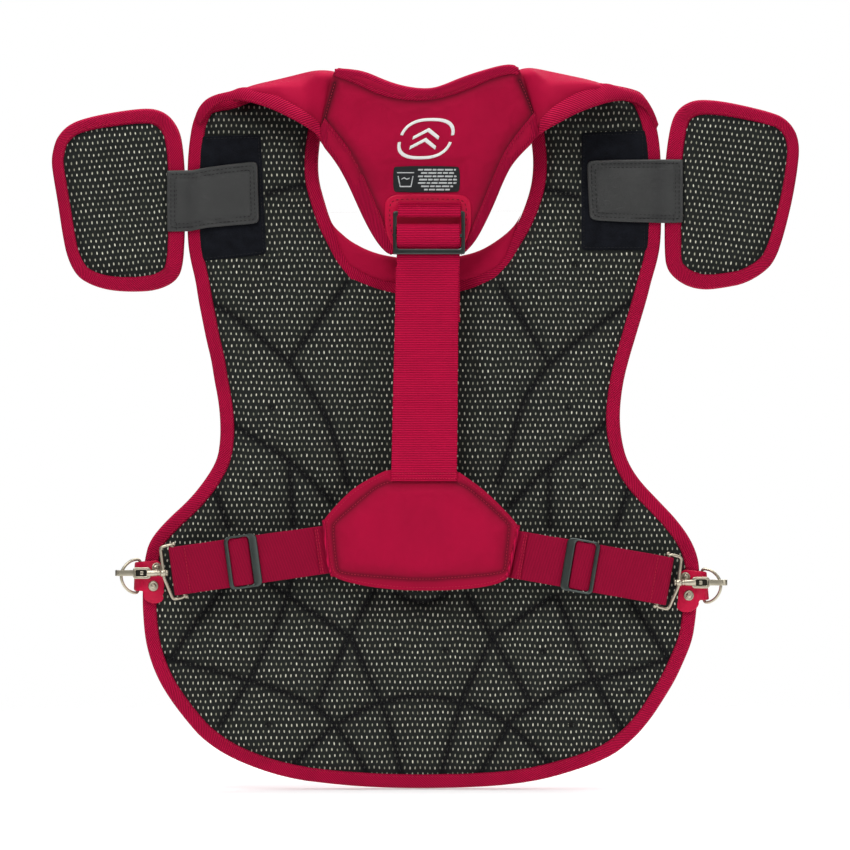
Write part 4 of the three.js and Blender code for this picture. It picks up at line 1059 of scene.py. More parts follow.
def cover_relief(x, z):
    """How far the outer pads stand away from the wearer, over their seams."""
    p = flat_points(x, z)
    px, pz = p.T
    to_seam = seg_dist(p, OUTER_SEGS)
    rim = smooth((seg_dist(p, OUTLINE_SEGS) - 7) / 16)
    h = 6.2 * rounded(to_seam, 19) * rim
    h += bell(to_seam - 4, 6) * rim * 0.4 * noise(px, pz, 6.5, 7)
    h += 0.4 * rim * noise(px, pz, 36, 8)
    return h.reshape(np.shape(x))


def plate_reach(x, z):
    """Distance from the plate's centre, measured in squares."""
    return np.maximum(np.abs(x), np.abs(z - PLATE_Z))


def cover_y(x, z):
    y = outer_y(x, z) - 1.6 + cover_relief(x, z)
    # level round the square plate
    s = smooth((plate_reach(x, z) - PLATE_HALF - 1.0) / 9)
    return y * s + 17.4 * (1 - s)


# ------------------------------------------------------------------ quilted panel
PANEL_PITCH = 2.7
PANEL_INSET = resample(offset_in(OUTLINE, 1.8), 2.6)
SEAM_STITCH = dict(pitch=3.0, length=2.1, radius=0.26, lift=0.12)


def quilted_lining():
    beside = [resample(line + normals(line, closed=False) * side, 2.4, closed=False)
              for line in SEAM_LINES for side in (-1.5, 1.5)]
    filled = fill(PANEL_INSET, PANEL_PITCH, rings=(1.2,), lines=SEAM_LINES + beside)
    points = filled.points
    x, z = points.T
    low = lining_y(x, z)
    to_seam = seg_dist(points, SEAM_SEGS)
    gap = np.min([poly_gap(patch, points) for patch in PATCHES.values()], axis=0)
    # painted shade: dark seam lines with painted shade in the grooves beside them, and painted shade
    # along the tape's inner edge
    shade = bell(to_seam, 1.45) + 0.3 * bell(to_seam, 4.5) + 0.1 * bell(to_seam, 14)
    shade = shade * smooth(gap / 2) + 0.25 * bell(filled.depth - 9, 5)
    # painted shade in the dimples of the bar tacks
    shade += 0.55 * bell(spot_dist(points, TACKS), 1.6)
    # painted shade in the faint creases
    shade += 0.3 * bell(seg_dist(points, FAINT_SEGS), 2.2)
    # shadow under the shoulder pads
    shade += 0.25 * bell(z - (crest_z(x) - 34), 22)
    lining = sheet("quilted_lining", filled, low, low + 0.8, MESH, shade)
    attach(lining, "panel", "mesh_fabric", "mesh_lining")


def segmented_cover():
    filled = fill(PANEL_INSET, PANEL_PITCH, rings=(1.2,), lines=OUTER_LINES)
    x, z = filled.points.T
    high = cover_y(x, z)
    to_seam = seg_dist(filled.points, OUTER_SEGS)
    to_seam = np.where(plate_reach(x, z) < PLATE_CLEAR, 50.0, to_seam)
    # painted shade in the seam grooves of the outer pads, with dark seam lines
    shade = 0.36 * bell(to_seam, 1.8) + 0.14 * bell(to_seam, 7)
    cover = sheet("segmented_cover", filled, high - 1.6, high, RED, shade)
    attach(cover, "panel", "crimson_fabric", "outer_cover")


def dress_foam():
    for name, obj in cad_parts.items():
        if name.startswith("foam_") or name.endswith("_foam") or "_foam_" in name:
            obj.data.materials.clear()
            obj.data.materials.append(FOAM)


def panel_seam_stitches():
    def clear_of_patches(points):
        clear = seg_dist(points, OUTLINE_SEGS) > 12
        for patch in PATCHES.values():
            clear &= poly_gap(patch, points) > 0.5
        return clear

    def clear_of_plate(points):
        off_plate = plate_reach(points[:, 0], points[:, 1]) > PLATE_CLEAR
        return (seg_dist(points, OUTLINE_SEGS) > 12) & off_plate

    threads = stitches("lining_seam_stitches", cut_lines(SEAM_LINES, clear_of_patches),
                       lining_y, THREAD_CHARCOAL, **SEAM_STITCH)
    attach(threads, "panel", "mesh_fabric")
    threads = stitches("cover_seam_stitches", cut_lines(OUTER_LINES, clear_of_plate),
                       cover_y, THREAD_DARK, side=1, **SEAM_STITCH)
    attach(threads, "panel", "crimson_fabric")


def bar_tacks():
    """Four upright threads and one across them, at each tack."""
    def thread(start, end, lift):
        pts = np.array([[start[0], 0, start[1]], [end[0], 0, end[1]]])
        pts[:, 1] = lining_y(pts[:, 0], pts[:, 2]) - lift
        return tube(pts, 0.3, 6)

    parts = []
    for x, z in TACKS:
        for dx in (0.0, 1.2, 2.4, -1.2):
            parts.append(thread((x + dx, z - 2.1), (x + dx, z + 2.1), lift=0.15))
        parts.append(thread((x - 2.4, float(z)), (x + 3.4, float(z)), lift=0.3))
    attach(solid("lining_tacks", parts, THREAD_BLACK), "panel", "mesh_fabric")


quilted_lining()
segmented_cover()
dress_foam()
panel_seam_stitches()
bar_tacks()


# ------------------------------------------------------------------ binding tapes
TAPE_STITCH = dict(pitch=3.1, length=2.2, radius=0.27)


def tape(name, line, low_y, high_y, width, closed=False):
    """Folded tape over an edge: line is the outer edge (inward side on its left),
    low_y and high_y the faces it clamps."""
    proud, wall, puff = 0.3, 1.3, 0.5
    nearest = 0.16   # share of the width where the tape turns round the edge
    turns = 7
    inward = normals(line, closed)
    width = np.broadcast_to(width, len(line))

    def lift(f):
        return proud + wall * 0.75 * rounded(1 - f, 0.14) + puff * math.sin(math.pi * (1 - f))

    def row(inset, y_of):
        x, z = (line + inward * inset[:, None]).T
        return np.c_[x, y_of(x, z), z]

    shares = np.linspace(1, nearest, 9)
    front = [row(width * f, lambda x, z: low_y(x, z) - lift(f)) for f in shares]
    back = [row(width * f, lambda x, z: high_y(x, z) + lift(f)) for f in shares[::-1]]
    middle = (front[-1][:, 1] + back[0][:, 1]) / 2
    half = (back[0][:, 1] - front[-1][:, 1]) / 2
    turn_inset = width * nearest
    turn = []
    for k in range(1, turns):
        a = math.pi * k / turns
        turn.append(row(turn_inset * (1 - math.sin(a)), lambda x, z: middle - half * math.cos(a)))
    inner_shares = (0.93, 0.55, 0.25)
    inner = [row(width * f, lambda x, z: high_y(x, z) + 0.02) for f in inner_shares]
    inner.append(row(np.minimum(width * 0.12, wall),
                     lambda x, z: (low_y(x, z) + high_y(x, z)) / 2))
    inner += [row(width * f, lambda x, z: low_y(x, z) - 0.02) for f in inner_shares[::-1]]
    across = [width * f for f in shares]
    across += [turn_inset - k / turns * 2 * turn_inset for k in range(1, turns)]
    across += [-width * f for f in shares[::-1]]
    across += [np.zeros(len(line))] * len(inner)
    profiles = np.stack(front + turn + back + inner, 1)
    verts, faces = strip(profiles, closed)
    along = np.repeat(arc_length(line), profiles.shape[1])
    return make(name, verts, faces, TWILL, cloth=np.c_[along, np.stack(across, 1).ravel()])


def panel_low(x, z):
    return inner_y(x, z) + 0.3


def panel_high(x, z):
    return outer_y(x, z) - 0.3


def panel_tapes():
    """The neck opening and the rest of the edge are separate lengths of tape."""
    cuts = [int(np.argmin(np.hypot(OUTLINE[:, 0] - x, OUTLINE[:, 1] - 542.4)))
            for x in (82.56, -80)]
    neck = OUTLINE[cuts[0]:cuts[1] + 1]
    edge = np.vstack([OUTLINE[cuts[1]:], OUTLINE[:cuts[0] + 1]])
    neck_width = 11.2 + 5.2 * smooth((446.4 - neck[:, 1]) / 30)
    neck_tape = tape("neck_tape", neck, panel_low, panel_high, neck_width)
    attach(neck_tape, "panel", "twill_tape", "neck_binding")
    edge_tape = tape("edge_tape", edge, panel_low, panel_high, 11.4)
    attach(edge_tape, "panel", "twill_tape", "edge_binding")
    for name, line, inset in (("edge", edge, 9.4), ("neck", neck, 9.0)):
        path = resample(line_offset(line, inset), 1.0, closed=False)
        threads = stitches(f"{name}_tape_stitches", [path], lambda x, z: panel_low(x, z) - 1.52,
                           THREAD, lift=0.12, **TAPE_STITCH)
        attach(threads, "panel", "twill_tape")


panel_tapes()

# ------------------------------------------------------------------ collar pad and loop patches
# (x, z): along the pad's upper edge from the left, and back along its lower edge
COLLAR = [
    (-79.6, 467.2), (-76.96, 458.8), (-73.44, 451.6), (-66.4, 445.12), (-59.2, 439.04),
    (-43.2, 430.8), (-24, 426.4), (-0.8, 425.2), (22.4, 426.4), (42.4, 430.8), (57.6, 439.52),
    (70.4, 450), (76.48, 459.6), (79.6, 468), (71.68, 447.2), (68, 434.4), (62.4, 421.6),
    (51.2, 414.8), (36, 408.8), (20, 406.24), (-1.6, 405.6), (-24.64, 406.16), (-38.16, 408),
    (-52.24, 414.88), (-62.4, 421.28), (-67.68, 431.28), (-73.12, 446.4),
]


def collar_pad():
    filled = fill(soft_ring(COLLAR, 2.2), 2.6, rings=(0.5, 1.3, 2.6))
    x, z = filled.points.T
    depth = filled.depth
    wrinkles = 0.5 * noise(x, z * 2.6, 9, 11) + 0.3 * noise(x, z, 6, 12)
    wrinkles = bell(z - 422, 16) * wrinkles * smooth(depth / 6)
    front = inner_y(x, z) - 0.6 - 3.6 * rounded(depth, 7) - wrinkles
    back = inner_y(x, z) + 0.2 + 10.0 * rounded(np.maximum(0, depth - 0.8), 6)
    pad = sheet("neck_collar_pad", filled, front, np.maximum(back, front + 0.8), RED)
    attach(pad, "panel", "crimson_fabric", "neck_collar")


def loop_patch(side):
    corners = PATCHES[side]
    rim = resample(chaikin(resample(corners, 3.2), 1), 1.6)
    # kept inside the panel's tape
    limit = resample(offset_in(OUTLINE, 9.6), 0.8)
    for i in np.nonzero(~inside(limit, rim))[0]:
        rim[i] = limit[np.argmin(((limit - rim[i]) ** 2).sum(1))]
    filled = fill(resample(rim, 1.9), 2.6, rings=(0.4, 1.2))
    x, z = filled.points.T
    y = inner_y(x, z) - 0.15 - 1.15 * rounded(filled.depth, 1.1)
    y = y - 0.25 * np.abs(noise(x, z, 2.9, 21)) - 0.2 * noise(x, z, 14, 22) * smooth(filled.depth / 4)
    patch = sheet(f"loop_pile_{side}", filled, y, inner_y(x, z) + 0.1, LOOPS)
    attach(patch, "panel", "loop_pile", f"loop_patch_{side}")
    row = offset_in(resample(corners, 1.0), 2.2)
    row = resample(row[seg_dist(row, OUTLINE_SEGS) > 11.5], 1.0, closed=False)
    threads = stitches(f"loop_patch_stitches_{side}", [row], lambda a, b: inner_y(a, b) - 1.32,
                       THREAD_BLACK, pitch=3.0, length=2.2, radius=0.25)
    attach(threads, "panel", "loop_pile")


collar_pad()
for side in SIDES:
    loop_patch(side)

# ------------------------------------------------------------------ arm pads
ARMS = {   # (x, z), clockwise
    "left": [
        (-298.4, 502.4), (-296.8, 512.8), (-293.6, 522.4), (-284.8, 532), (-271.2, 537.6),
        (-246.8, 542.88), (-223.52, 545.92), (-212.48, 544.4), (-204, 539.2), (-197.6, 530),
        (-194.4, 519.2), (-192.32, 496), (-192.16, 472), (-192.32, 445.6), (-194, 417.6),
        (-200.24, 406.4), (-215.2, 399.6), (-234.4, 398.4), (-252.8, 399.6), (-267.6, 404),
        (-278.64, 411.2), (-285.92, 425.92), (-289.6, 444.32), (-293.28, 470), (-296.4, 488),
    ],
    "right": [
        (192, 496), (194.4, 519.2), (198.08, 537.6), (204, 546.4), (212.8, 551.44),
        (222.4, 552.8), (238.4, 551.2), (256.8, 547.2), (275.2, 542.4), (287.2, 537.6),
        (296, 527.2), (299.2, 513.6), (297.2, 494.4), (293.6, 472.8), (287.2, 445.6),
        (281.28, 427.2), (274, 416), (256.8, 405.12), (238.4, 401.6), (223.76, 400),
        (210.4, 402.72), (199.2, 410), (193.2, 418.64), (192, 432), (192, 454.4),
    ],
}
ARM_CLOTH_TURN = {"left": 5.0, "right": -6.0}   # degrees the mesh lies askew


def arm_lining(side, filled, centre, puff):
    k = SIDES[side]
    x, z = filled.points.T
    depth = filled.depth
    relief = 2.2 * puff + 0.5 * puff * noise(x, z, 26, 31 + k)
    relief = relief + 0.22 * puff * noise(x, z, 9, 33 + k)
    relief = relief + 0.3 * bell(depth - 12, 4) * noise(x, z, 5, 35)
    low = relax(filled, arm_low_y(x, z) + 0.5 - relief, depth < 9.0, pressure=-0.9,
                shrink=-0.015, below=2.6, above=0.6)
    a = math.radians(ARM_CLOTH_TURN[side])
    dx, dz = x - centre[0], z - centre[1]
    cloth = np.c_[dx * math.cos(a) + dz * math.sin(a), -dx * math.sin(a) + dz * math.cos(a)]
    # painted shade along the inner edge of the binding tape
    obj = sheet(f"arm_lining_{side}", filled, low, low + 0.9, MESH,
                shade=0.45 * bell(depth - 9.5, 3.5), cloth=cloth)
    attach(obj, f"arm_pad_{side}", "mesh_fabric", f"arm_pad_lining_{side}")


def arm_cover(side, filled, puff):
    """Outer face: crowned, with a raised centre panel."""
    x, z = filled.points.T
    depth = filled.depth
    high = arm_low_y(x, z) + ARM_THICK - 1.0 + 3.2 * rounded(np.maximum(0, depth - 8), 16)
    high = high + 2.0 * smooth((depth - 14) / 8) + 0.4 * noise(x, z, 22, 36) * puff
    pinned = (depth < 9.0) | (np.abs(depth - 17) < 1.6)
    high = relax(filled, high, pinned, pressure=0.9, shrink=-0.015, below=0.5, above=2.4)
    obj = sheet(f"arm_cover_{side}", filled, high - 1.3, high, RED)
    attach(obj, f"arm_pad_{side}", "crimson_fabric", f"arm_pad_cover_{side}")


def arm_pad(side):
    k = SIDES[side]
    edge = counter_clockwise(soft_ring(ARMS[side], 2.2))
    centre = edge.mean(0)
    inset = resample(offset_in(edge, 1.8), 2.3)
    filled = fill(inset, 2.5, rings=(1.2,))
    puff = smooth((filled.depth - 7) / 15)
    arm_lining(side, filled, centre, puff)
    arm_cover(side, filled, puff)

    # the tape starts on the side towards the panel
    outward = (edge[:, 0] - centre[0]) * k > 0
    edge = np.roll(edge, -int(np.argmin(np.abs(edge[:, 1] - 472) + 1000 * outward)), 0)
    width = 11.6 + 1.9 * np.clip(-k * (edge[:, 0] - centre[0]) / 55.0, -1, 1)

    def low(x, z):
        return arm_low_y(x, z) + 0.2

    def high(x, z):
        return arm_low_y(x, z) + ARM_THICK - 0.2

    obj = tape(f"arm_tape_{side}", edge, low, high, width, closed=True)
    attach(obj, f"arm_pad_{side}", "twill_tape", f"arm_pad_binding_{side}")
    row = edge + normals(edge) * (width - 2.2)[:, None]
    row = np.vstack([row, row[:1]])
    threads = stitches(f"arm_tape_stitches_{side}", [row], lambda x, z: low(x, z) - 1.5, THREAD,
                       **TAPE_STITCH)
    attach(threads, f"arm_pad_{side}", "twill_tape")
    threads = stitches(f"arm_tape_stitches_back_{side}", [row], lambda x, z: high(x, z) + 1.5,
                       THREAD, side=1, **TAPE_STITCH)
    attach(threads, f"arm_pad_{side}", "twill_tape")


for side in SIDES:
    arm_pad(side)

# ------------------------------------------------------------------ hook-and-loop arm straps
# outline: (x, z). cross: z of both ends of the stitch row across the pad end.
# hook_x: both ends of the hook tape underneath.
ARM_STRAPS = {
    "left": dict(
        outline=[
            (-206.64, 495.68), (-196, 495.84), (-186.4, 496), (-174.96, 498.32),
            (-157.6, 500.8), (-139.76, 502.88), (-135.68, 502.72), (-134.08, 499.84),
            (-133.6, 480), (-132.8, 457.12), (-134.24, 454.08), (-138.4, 453.12),
            (-157.6, 451.52), (-174.96, 449.76), (-188, 447.04), (-206.48, 446.64),
        ],
        cross=(494.88, 447.52), hook_x=(-176.8, -136.8)),
    "right": dict(
        outline=[
            (206.56, 504.48), (206.56, 453.92), (191.2, 453.6), (172, 454.24), (154.4, 454.88),
            (138.4, 455.84), (134.08, 456.64), (131.84, 459.2), (130.72, 480), (129.92, 500),
            (130.88, 502.88), (134.08, 503.84), (149.6, 504.48), (172, 504.64), (191.2, 504.64),
        ],
        cross=(503.52, 454.72), hook_x=(133.6, 176.8)),
}
HOOK_TAPE_Z = (458.4, 495.2)


def strap_y(x, z):
    """Resting height of an arm strap, from the panel over to the arm pad."""
    ax = np.abs(x)
    on_pad = smooth((ax - 184) / 12)
    base = (inner_y(x, z) - 3.5) * (1 - on_pad) + (arm_low_y(x, z) - 2.6) * on_pad
    return base - 0.35 * bell(ax - 190, 9)


def strap_swell(x, z, depth, seed):
    """Softness of an arm strap at a distance from its rim."""
    ripple = 0.6 * np.cos((np.abs(x) - 176) / 7.5) * bell(np.abs(x) - 178, 14)
    return 0.55 * smooth(depth / 14) + 0.55 * noise(x, z, 17, seed) * smooth(depth / 8) + ripple


def arm_strap(side):
    k = SIDES[side]
    spec = ARM_STRAPS[side]
    rows = (3.2, 6.2)   # insets of the two stitch rows
    rim = resample(chaikin(resample(spec["outline"], 1.6), 1), 1.7)
    filled = fill(rim, 2.4, rings=(0.35, 0.9, 1.7))
    x, z = filled.points.T
    depth = filled.depth
    groove = sum(0.28 * bell(depth - r, 0.8) for r in rows)
    y = strap_y(x, z) - 0.15 - 0.95 * rounded(depth, 1.5)
    y = y - strap_swell(x, z, depth, 41 + k) + groove
    # painted shade in the grooves of the stitch rows and where the strap steps from the panel onto
    # the arm pad
    shade = sum(0.45 * bell(depth - r, 0.9) for r in rows) + 0.25 * bell(np.abs(x) - 187, 6)
    obj = sheet(f"arm_strap_{side}", filled, y, strap_y(x, z) + 0.15, LEATHER_BLACK, shade)
    bend = (f"arm_tab_{side}", f"arm_pad_{side}", at(k * 184, -17, 475), at(k * 200, -17, 475))
    attach(obj, bend, "synthetic_leather", f"arm_tab_{side}")

    paths = []
    for r in rows:
        ring = offset_in(rim, r)
        # open at the pad end
        path = opened(ring, int(np.argmax(ring[:, 0] * k)), lambda p: p[:, 0] * k < 204.5)
        paths.append(path)
    paths.append(np.array([[k * 199.0, end] for end in spec["cross"]]))
    threads = stitches(
        f"arm_strap_stitches_{side}", [resample(p, 1.0, closed=False) for p in paths],
        lambda a, b: strap_y(a, b) - 0.95 - strap_swell(a, b, 4.0, 41 + k) + 0.1,
        THREAD_BLACK, pitch=3.3, length=2.3, radius=0.3, lift=0.12)
    attach(threads, bend, "synthetic_leather")

    x0, x1 = spec["hook_x"]
    z0, z1 = HOOK_TAPE_Z
    filled = fill(resample([(x0, z1), (x1, z1), (x1, z0), (x0, z0)], 2.2), 2.6, rings=(0.4,))
    x, z = filled.points.T
    high = inner_y(x, z) - 2.0 + 0.25 * np.abs(noise(x, z, 2.4, 51))
    obj = sheet(f"hook_tape_{side}", filled, inner_y(x, z) - 3.25, high, HOOKS)
    attach(obj, f"arm_tab_{side}", "hook_pile", f"arm_tab_hook_strip_{side}")


for side in SIDES:
    arm_strap(side)

# ------------------------------------------------------------------ yoke
# (x, z), clockwise
YOKE_OUTLINE = [
    (-72.4, 577.2), (-63.2, 576.16), (-48, 573.44), (-32, 566.4), (-20, 562.72),
    (-7.2, 560.64), (5.6, 560.48), (12.8, 562.4), (28.8, 568.8), (45.6, 574.4), (65.6, 580.4),
    (75.6, 578), (83.2, 552), (92.8, 524), (71.2, 503.2), (63.2, 488), (56.8, 472),
    (49.6, 456), (41.2, 440), (32.8, 430.4), (28.8, 428), (-27.2, 428), (-32, 430.4),
    (-40, 440), (-48.8, 456), (-56, 472), (-63.2, 488), (-72, 503.2), (-85.12, 519.2),
    (-82.8, 536), (-77.6, 555.2),
]
# Outer edges and inner seams (x, z) of the tapes round the yoke.
YOKE_TOP_OUT = [
    (-72, 576.32), (-63.2, 576.64), (-48, 574.56), (-32, 567.52), (-20, 563.52),
    (-7.2, 561.12), (4, 560.8), (12.8, 562.88), (28.8, 569.6), (45.6, 575.2), (65.6, 580.48),
    (74.72, 577.44),
]
YOKE_TOP_IN = [
    (-72, 570), (-64.8, 567.6), (-55.2, 564), (-41.6, 557.2), (-25.6, 552.32), (-9.6, 550.56),
    (4, 550.72), (18.4, 553.6), (36, 560), (50.4, 566.8), (66.4, 572), (74.8, 571.2),
]
YOKE_SIDE_OUT = {
    "left": [(-86.72, 523.2), (-83.2, 517.6), (-72, 503.2), (-63.2, 488), (-56, 472),
             (-48.8, 456), (-40, 440), (-32.8, 431.2), (-27.2, 428)],
    "right": [(94.4, 528.8), (90.72, 523.2), (71.2, 503.2), (63.2, 488), (56.8, 472),
              (49.6, 456), (41.2, 440), (33.6, 431.2), (28.8, 428)],
}
YOKE_SIDE_IN = {
    "left": [(-80, 536.8), (-68.8, 523.2), (-57.6, 508.8), (-49.6, 492.8), (-42.4, 476),
             (-35.2, 459.2), (-28.8, 444.8), (-22.4, 432)],
    "right": [(87.2, 541.6), (75.2, 527.2), (64, 512), (56, 494.4), (48.8, 476.8),
              (42, 460.8), (35.6, 444.8), (28, 432)],
}
# Sewn channels (x, z) between the yoke and the shoulder pads.
CHANNELS = {
    "left": [(-72, 564.8), (-75.2, 553.6), (-80, 537.6), (-82.4, 522.4)],
    "right": [(75.2, 567.2), (80.8, 555.2), (85.6, 542.4), (91.2, 525.6)],
}
YOKE_PLAIN_Z = 475.2   # below this the yoke is thin and flat
CHANNEL_LINES = {side: soft_line(line, 2.0) for side, line in CHANNELS.items()}
YOKE_LINES = [soft_line(line, 2.0) for line in [YOKE_TOP_IN, *YOKE_SIDE_IN.values()]]
YOKE_LINES += CHANNEL_LINES.values()
YOKE_SEGS = all_segs(YOKE_LINES)
CHANNEL_SEGS = all_segs(CHANNEL_LINES.values())


def label_zone(p):
    """1 under the care label, falling to 0 round it."""
    gap_x = np.maximum(0, np.abs(p[:, 0] - 1.2) - 27.5)
    gap_z = np.maximum(0, np.abs(p[:, 1] - 488.16) - 11.5)
    return 1 - smooth(np.hypot(gap_x, gap_z) / 7)


def yoke_relief(p):
    """How far the padded yoke stands towards the wearer."""
    x, z = p.T
    to_seam = seg_dist(p, YOKE_SEGS)
    padded = smooth((z - YOKE_PLAIN_Z) / 22)
    h = 3.3 * ditch(to_seam, 5.2, 1.4) * (0.25 + 0.75 * padded)
    h += padded * (0.55 * noise(x, z, 24, 61) + 0.18 * noise(x, z, 9, 62))
    h += 0.35 * bell(to_seam - 5, 4) * noise(x, z, 4.4, 63) * padded
    h -= 0.9 * bell(seg_dist(p, CHANNEL_SEGS), 2.6)
    label = label_zone(p)
    return h * (1 - label) + 1.3 * label


def yoke():
    """Shell and lining; returns the height function of the shell's face."""
    rim = counter_clockwise(soft_ring(YOKE_OUTLINE, 1.9))
    filled = fill(rim, 2.1, rings=(0.5, 1.4, 3.0), lines=YOKE_LINES)
    points = filled.points
    x, z = points.T
    depth = filled.depth
    to_seam = seg_dist(points, YOKE_SEGS)
    front = yoke_front_y(x, z) - yoke_relief(points) * smooth(depth / 8)
    pinned = (depth < 5) | (to_seam < 1.3) | (z < YOKE_PLAIN_Z) | (label_zone(points) > 0.8)
    front = relax(filled, front, pinned, pressure=-0.8, shrink=-0.012, below=2.2, above=0.5)
    edge = 1 - rounded(depth, 2.2)
    back = yoke_back_y(x, z) - 0.3 - 1.2 * edge
    front = np.minimum(front + 1.3 * edge, back - 0.6)
    # painted shade in the seam grooves and along the channels, with dark seam lines
    shade = 0.4 * bell(to_seam, 2.2) + 0.18 * bell(to_seam, 7)
    shade += 0.3 * bell(seg_dist(points, CHANNEL_SEGS), 3.0)
    shell = sheet("yoke_shell", filled, front, back, RED, shade)
    attach(shell, "yoke", "crimson_fabric", "yoke_cover", "yoke_foam")
    face = drape(shell)

    filled = fill(resample(offset_in(rim, 7), 2.4), 3.4, rings=(0.5,))
    x, z = filled.points.T
    back = yoke_back_y(x, z)
    lining = sheet("yoke_mesh_lining", filled, back - 0.35,
                   back + 0.35 + 0.15 * noise(x, z, 8, 64), MESH)
    attach(lining, "yoke", "mesh_fabric", "yoke_lining")
    return face


def yoke_tape(name, outer, inner, node):
    """Tape folded over a free edge of the yoke: outer is the edge, inner its seam."""
    lift, puff = 1.3, 0.5
    turn_share = 0.2   # share of the width where the tape turns round the edge
    count = max(10, int(arc_length(np.array(outer))[-1] / 2.0))
    outer = soft_line(outer, count=count)
    inner = soft_line(inner, count=count)
    width = np.linalg.norm(outer - inner, axis=1)
    rows, across = [], []

    def face_y(x, z):
        return yoke_front_y(x, z) + 0.15 + 0.25

    def between(share):
        return (outer * (1 - share) + inner * share).T

    def add(x, y, z, v):
        rows.append(np.c_[x, y, z])
        across.append(v)

    shares = np.r_[1.0, 0.985, 0.93, np.linspace(0.85, turn_share, 7)]
    for f in shares:
        x, z = between(f)
        y = face_y(x, z) - lift * rounded(1 - f, 0.15) - puff * math.sin(math.pi * (1 - f))
        add(x, y, z, width * f)
    x, z = between(turn_share)
    y_front = rows[-1][:, 1]
    y_back = yoke_back_y(x, z) + lift * 0.8
    middle, half = (y_front + y_back) / 2, (y_back - y_front) / 2
    for k in range(1, 7):
        a = math.pi * k / 7
        x, z = between(turn_share * (1 - math.sin(a)))
        add(x, middle - half * math.cos(a), z, width * turn_share * (1 - k / 3.5))
    for f in shares[::-1]:
        x, z = between(f * 0.8)
        y = yoke_back_y(x, z) - 0.2 + lift * 0.8 * rounded(1 - f, 0.15)
        add(x, y, z, -width * f)
    for f in (0.6, 0.3):
        x, z = between(f)
        add(x, yoke_back_y(x, z) - 0.5, z, width * 0)
    for f in (0.3, 0.6):
        x, z = between(f)
        add(x, yoke_front_y(x, z) + 0.15 + 0.6, z, width * 0)
    profiles = np.stack(rows, 1)
    verts, faces = strip(profiles)
    along = np.repeat(arc_length((outer + inner) / 2), profiles.shape[1])
    obj = make(name, verts, faces, TWILL, cloth=np.c_[along, np.stack(across, 1).ravel()])
    attach(obj, "yoke", "twill_tape", node)
    share = (1 - 1.9 / np.maximum(4, width))[:, None]
    threads = stitches(name + "_stitches", [outer * (1 - share) + inner * share],
                       lambda x, z: face_y(x, z) - lift - puff * 0.42,
                       THREAD, pitch=3.0, length=2.1, radius=0.27)
    attach(threads, "yoke", "twill_tape")


YOKE_FACE = yoke()
yoke_tape("yoke_neck_tape", YOKE_TOP_OUT, YOKE_TOP_IN, "yoke_neck_binding")
for side in SIDES:
    yoke_tape(f"yoke_side_tape_{side}", YOKE_SIDE_OUT[side], YOKE_SIDE_IN[side],
              f"yoke_side_binding_{side}")
    threads = stitches(f"yoke_channel_stitches_{side}", [CHANNEL_LINES[side]], YOKE_FACE, THREAD,
                       pitch=2.6, length=1.8, radius=0.26)
    attach(threads, "yoke", "crimson_fabric")

# ------------------------------------------------------------------ shoulder pads
# Lines (x, z) along each shoulder, outer corner first: crest of the pad, lower end of its
# wearer-side face, and the lower and upper edges of the tape on that face.
SHOULDERS = {
    "left": dict(
        crest=[
            (-152.8, 557.28), (-143.2, 562.72), (-133.6, 565.68), (-121.6, 568.32),
            (-107.2, 571.84), (-96.8, 574.56), (-88.8, 576.16), (-80.8, 576.56),
            (-72.8, 575.68), (-66.4, 573.44)],
        pad_end=[
            (-152.8, 556), (-143.2, 559.68), (-135.2, 560), (-128.8, 559.76), (-116, 555.36),
            (-103.36, 547.84), (-90.8, 539.36), (-85.6, 534.72), (-80, 528.8), (-73.6, 524.8)],
        tape_low=[
            (-180, 532), (-176.8, 536.8), (-174.08, 540.24), (-170.4, 545.12),
            (-164.88, 549.52), (-155.6, 551.68), (-145.6, 551.04), (-128.64, 546.56),
            (-111.84, 539.04), (-95.36, 529.92), (-88.8, 525.92), (-82.8, 519.2)],
        tape_high=[
            (-184.4, 538.4), (-182.4, 544), (-179.68, 548.48), (-175.2, 553.12),
            (-168, 556.48), (-159.2, 558.24), (-154.72, 559.04), (-147.2, 562.08),
            (-135.2, 561.44), (-127.2, 559.04), (-114.4, 554.4), (-102.4, 547.04),
            (-90, 538.4), (-84, 532.8)],
    ),
    "right": dict(
        crest=[
            (150.4, 561.12), (140.8, 566.08), (130.4, 569.12), (120, 571.36), (109.6, 573.6),
            (98.4, 576), (88.8, 577.92), (81.6, 578.4), (75.2, 576.96), (68.8, 574.4)],
        pad_end=[
            (150.4, 560), (141.6, 563.2), (133.6, 563.2), (126.4, 562.08), (116.8, 557.28),
            (107.2, 550.88), (98.4, 543.52), (92.8, 538), (88, 532), (81.6, 528)],
        tape_low=[
            (185.2, 528.8), (182.4, 534.8), (179.68, 540), (176, 544.8), (170, 549.6),
            (161.6, 551.52), (152, 550.88), (137.6, 546.88), (120.8, 540.48),
            (104.8, 531.52), (97.2, 527.36), (90.8, 523.2)],
        tape_high=[
            (187.04, 532.8), (184.32, 540.8), (181.12, 547.2), (176.8, 554.08),
            (170.8, 558.08), (163.2, 560.16), (155.2, 562.08), (145.6, 565.44),
            (134.4, 563.84), (125.6, 560.96), (115.6, 555.68), (106, 549.28),
            (97.6, 541.92), (92, 536)],
    ),
}


def shoulder_y(x, z):
    """Wearer-side face of the shoulder padding: out of the panel at the outer corner,
    then proud towards the neck."""
    full = -28 - 18 * np.clip((crest_z(x) - z) / 48, 0, 1)
    edge = inner_y(x, z) - 2.2
    g = smooth((182 - np.abs(x)) / 42)
    return edge * (1 - g) + full * g


def neck_share(x):
    """0 over the shoulder, 1 near the neck, where the pad follows the yoke."""
    return smooth((101 - np.abs(x)) / 17)


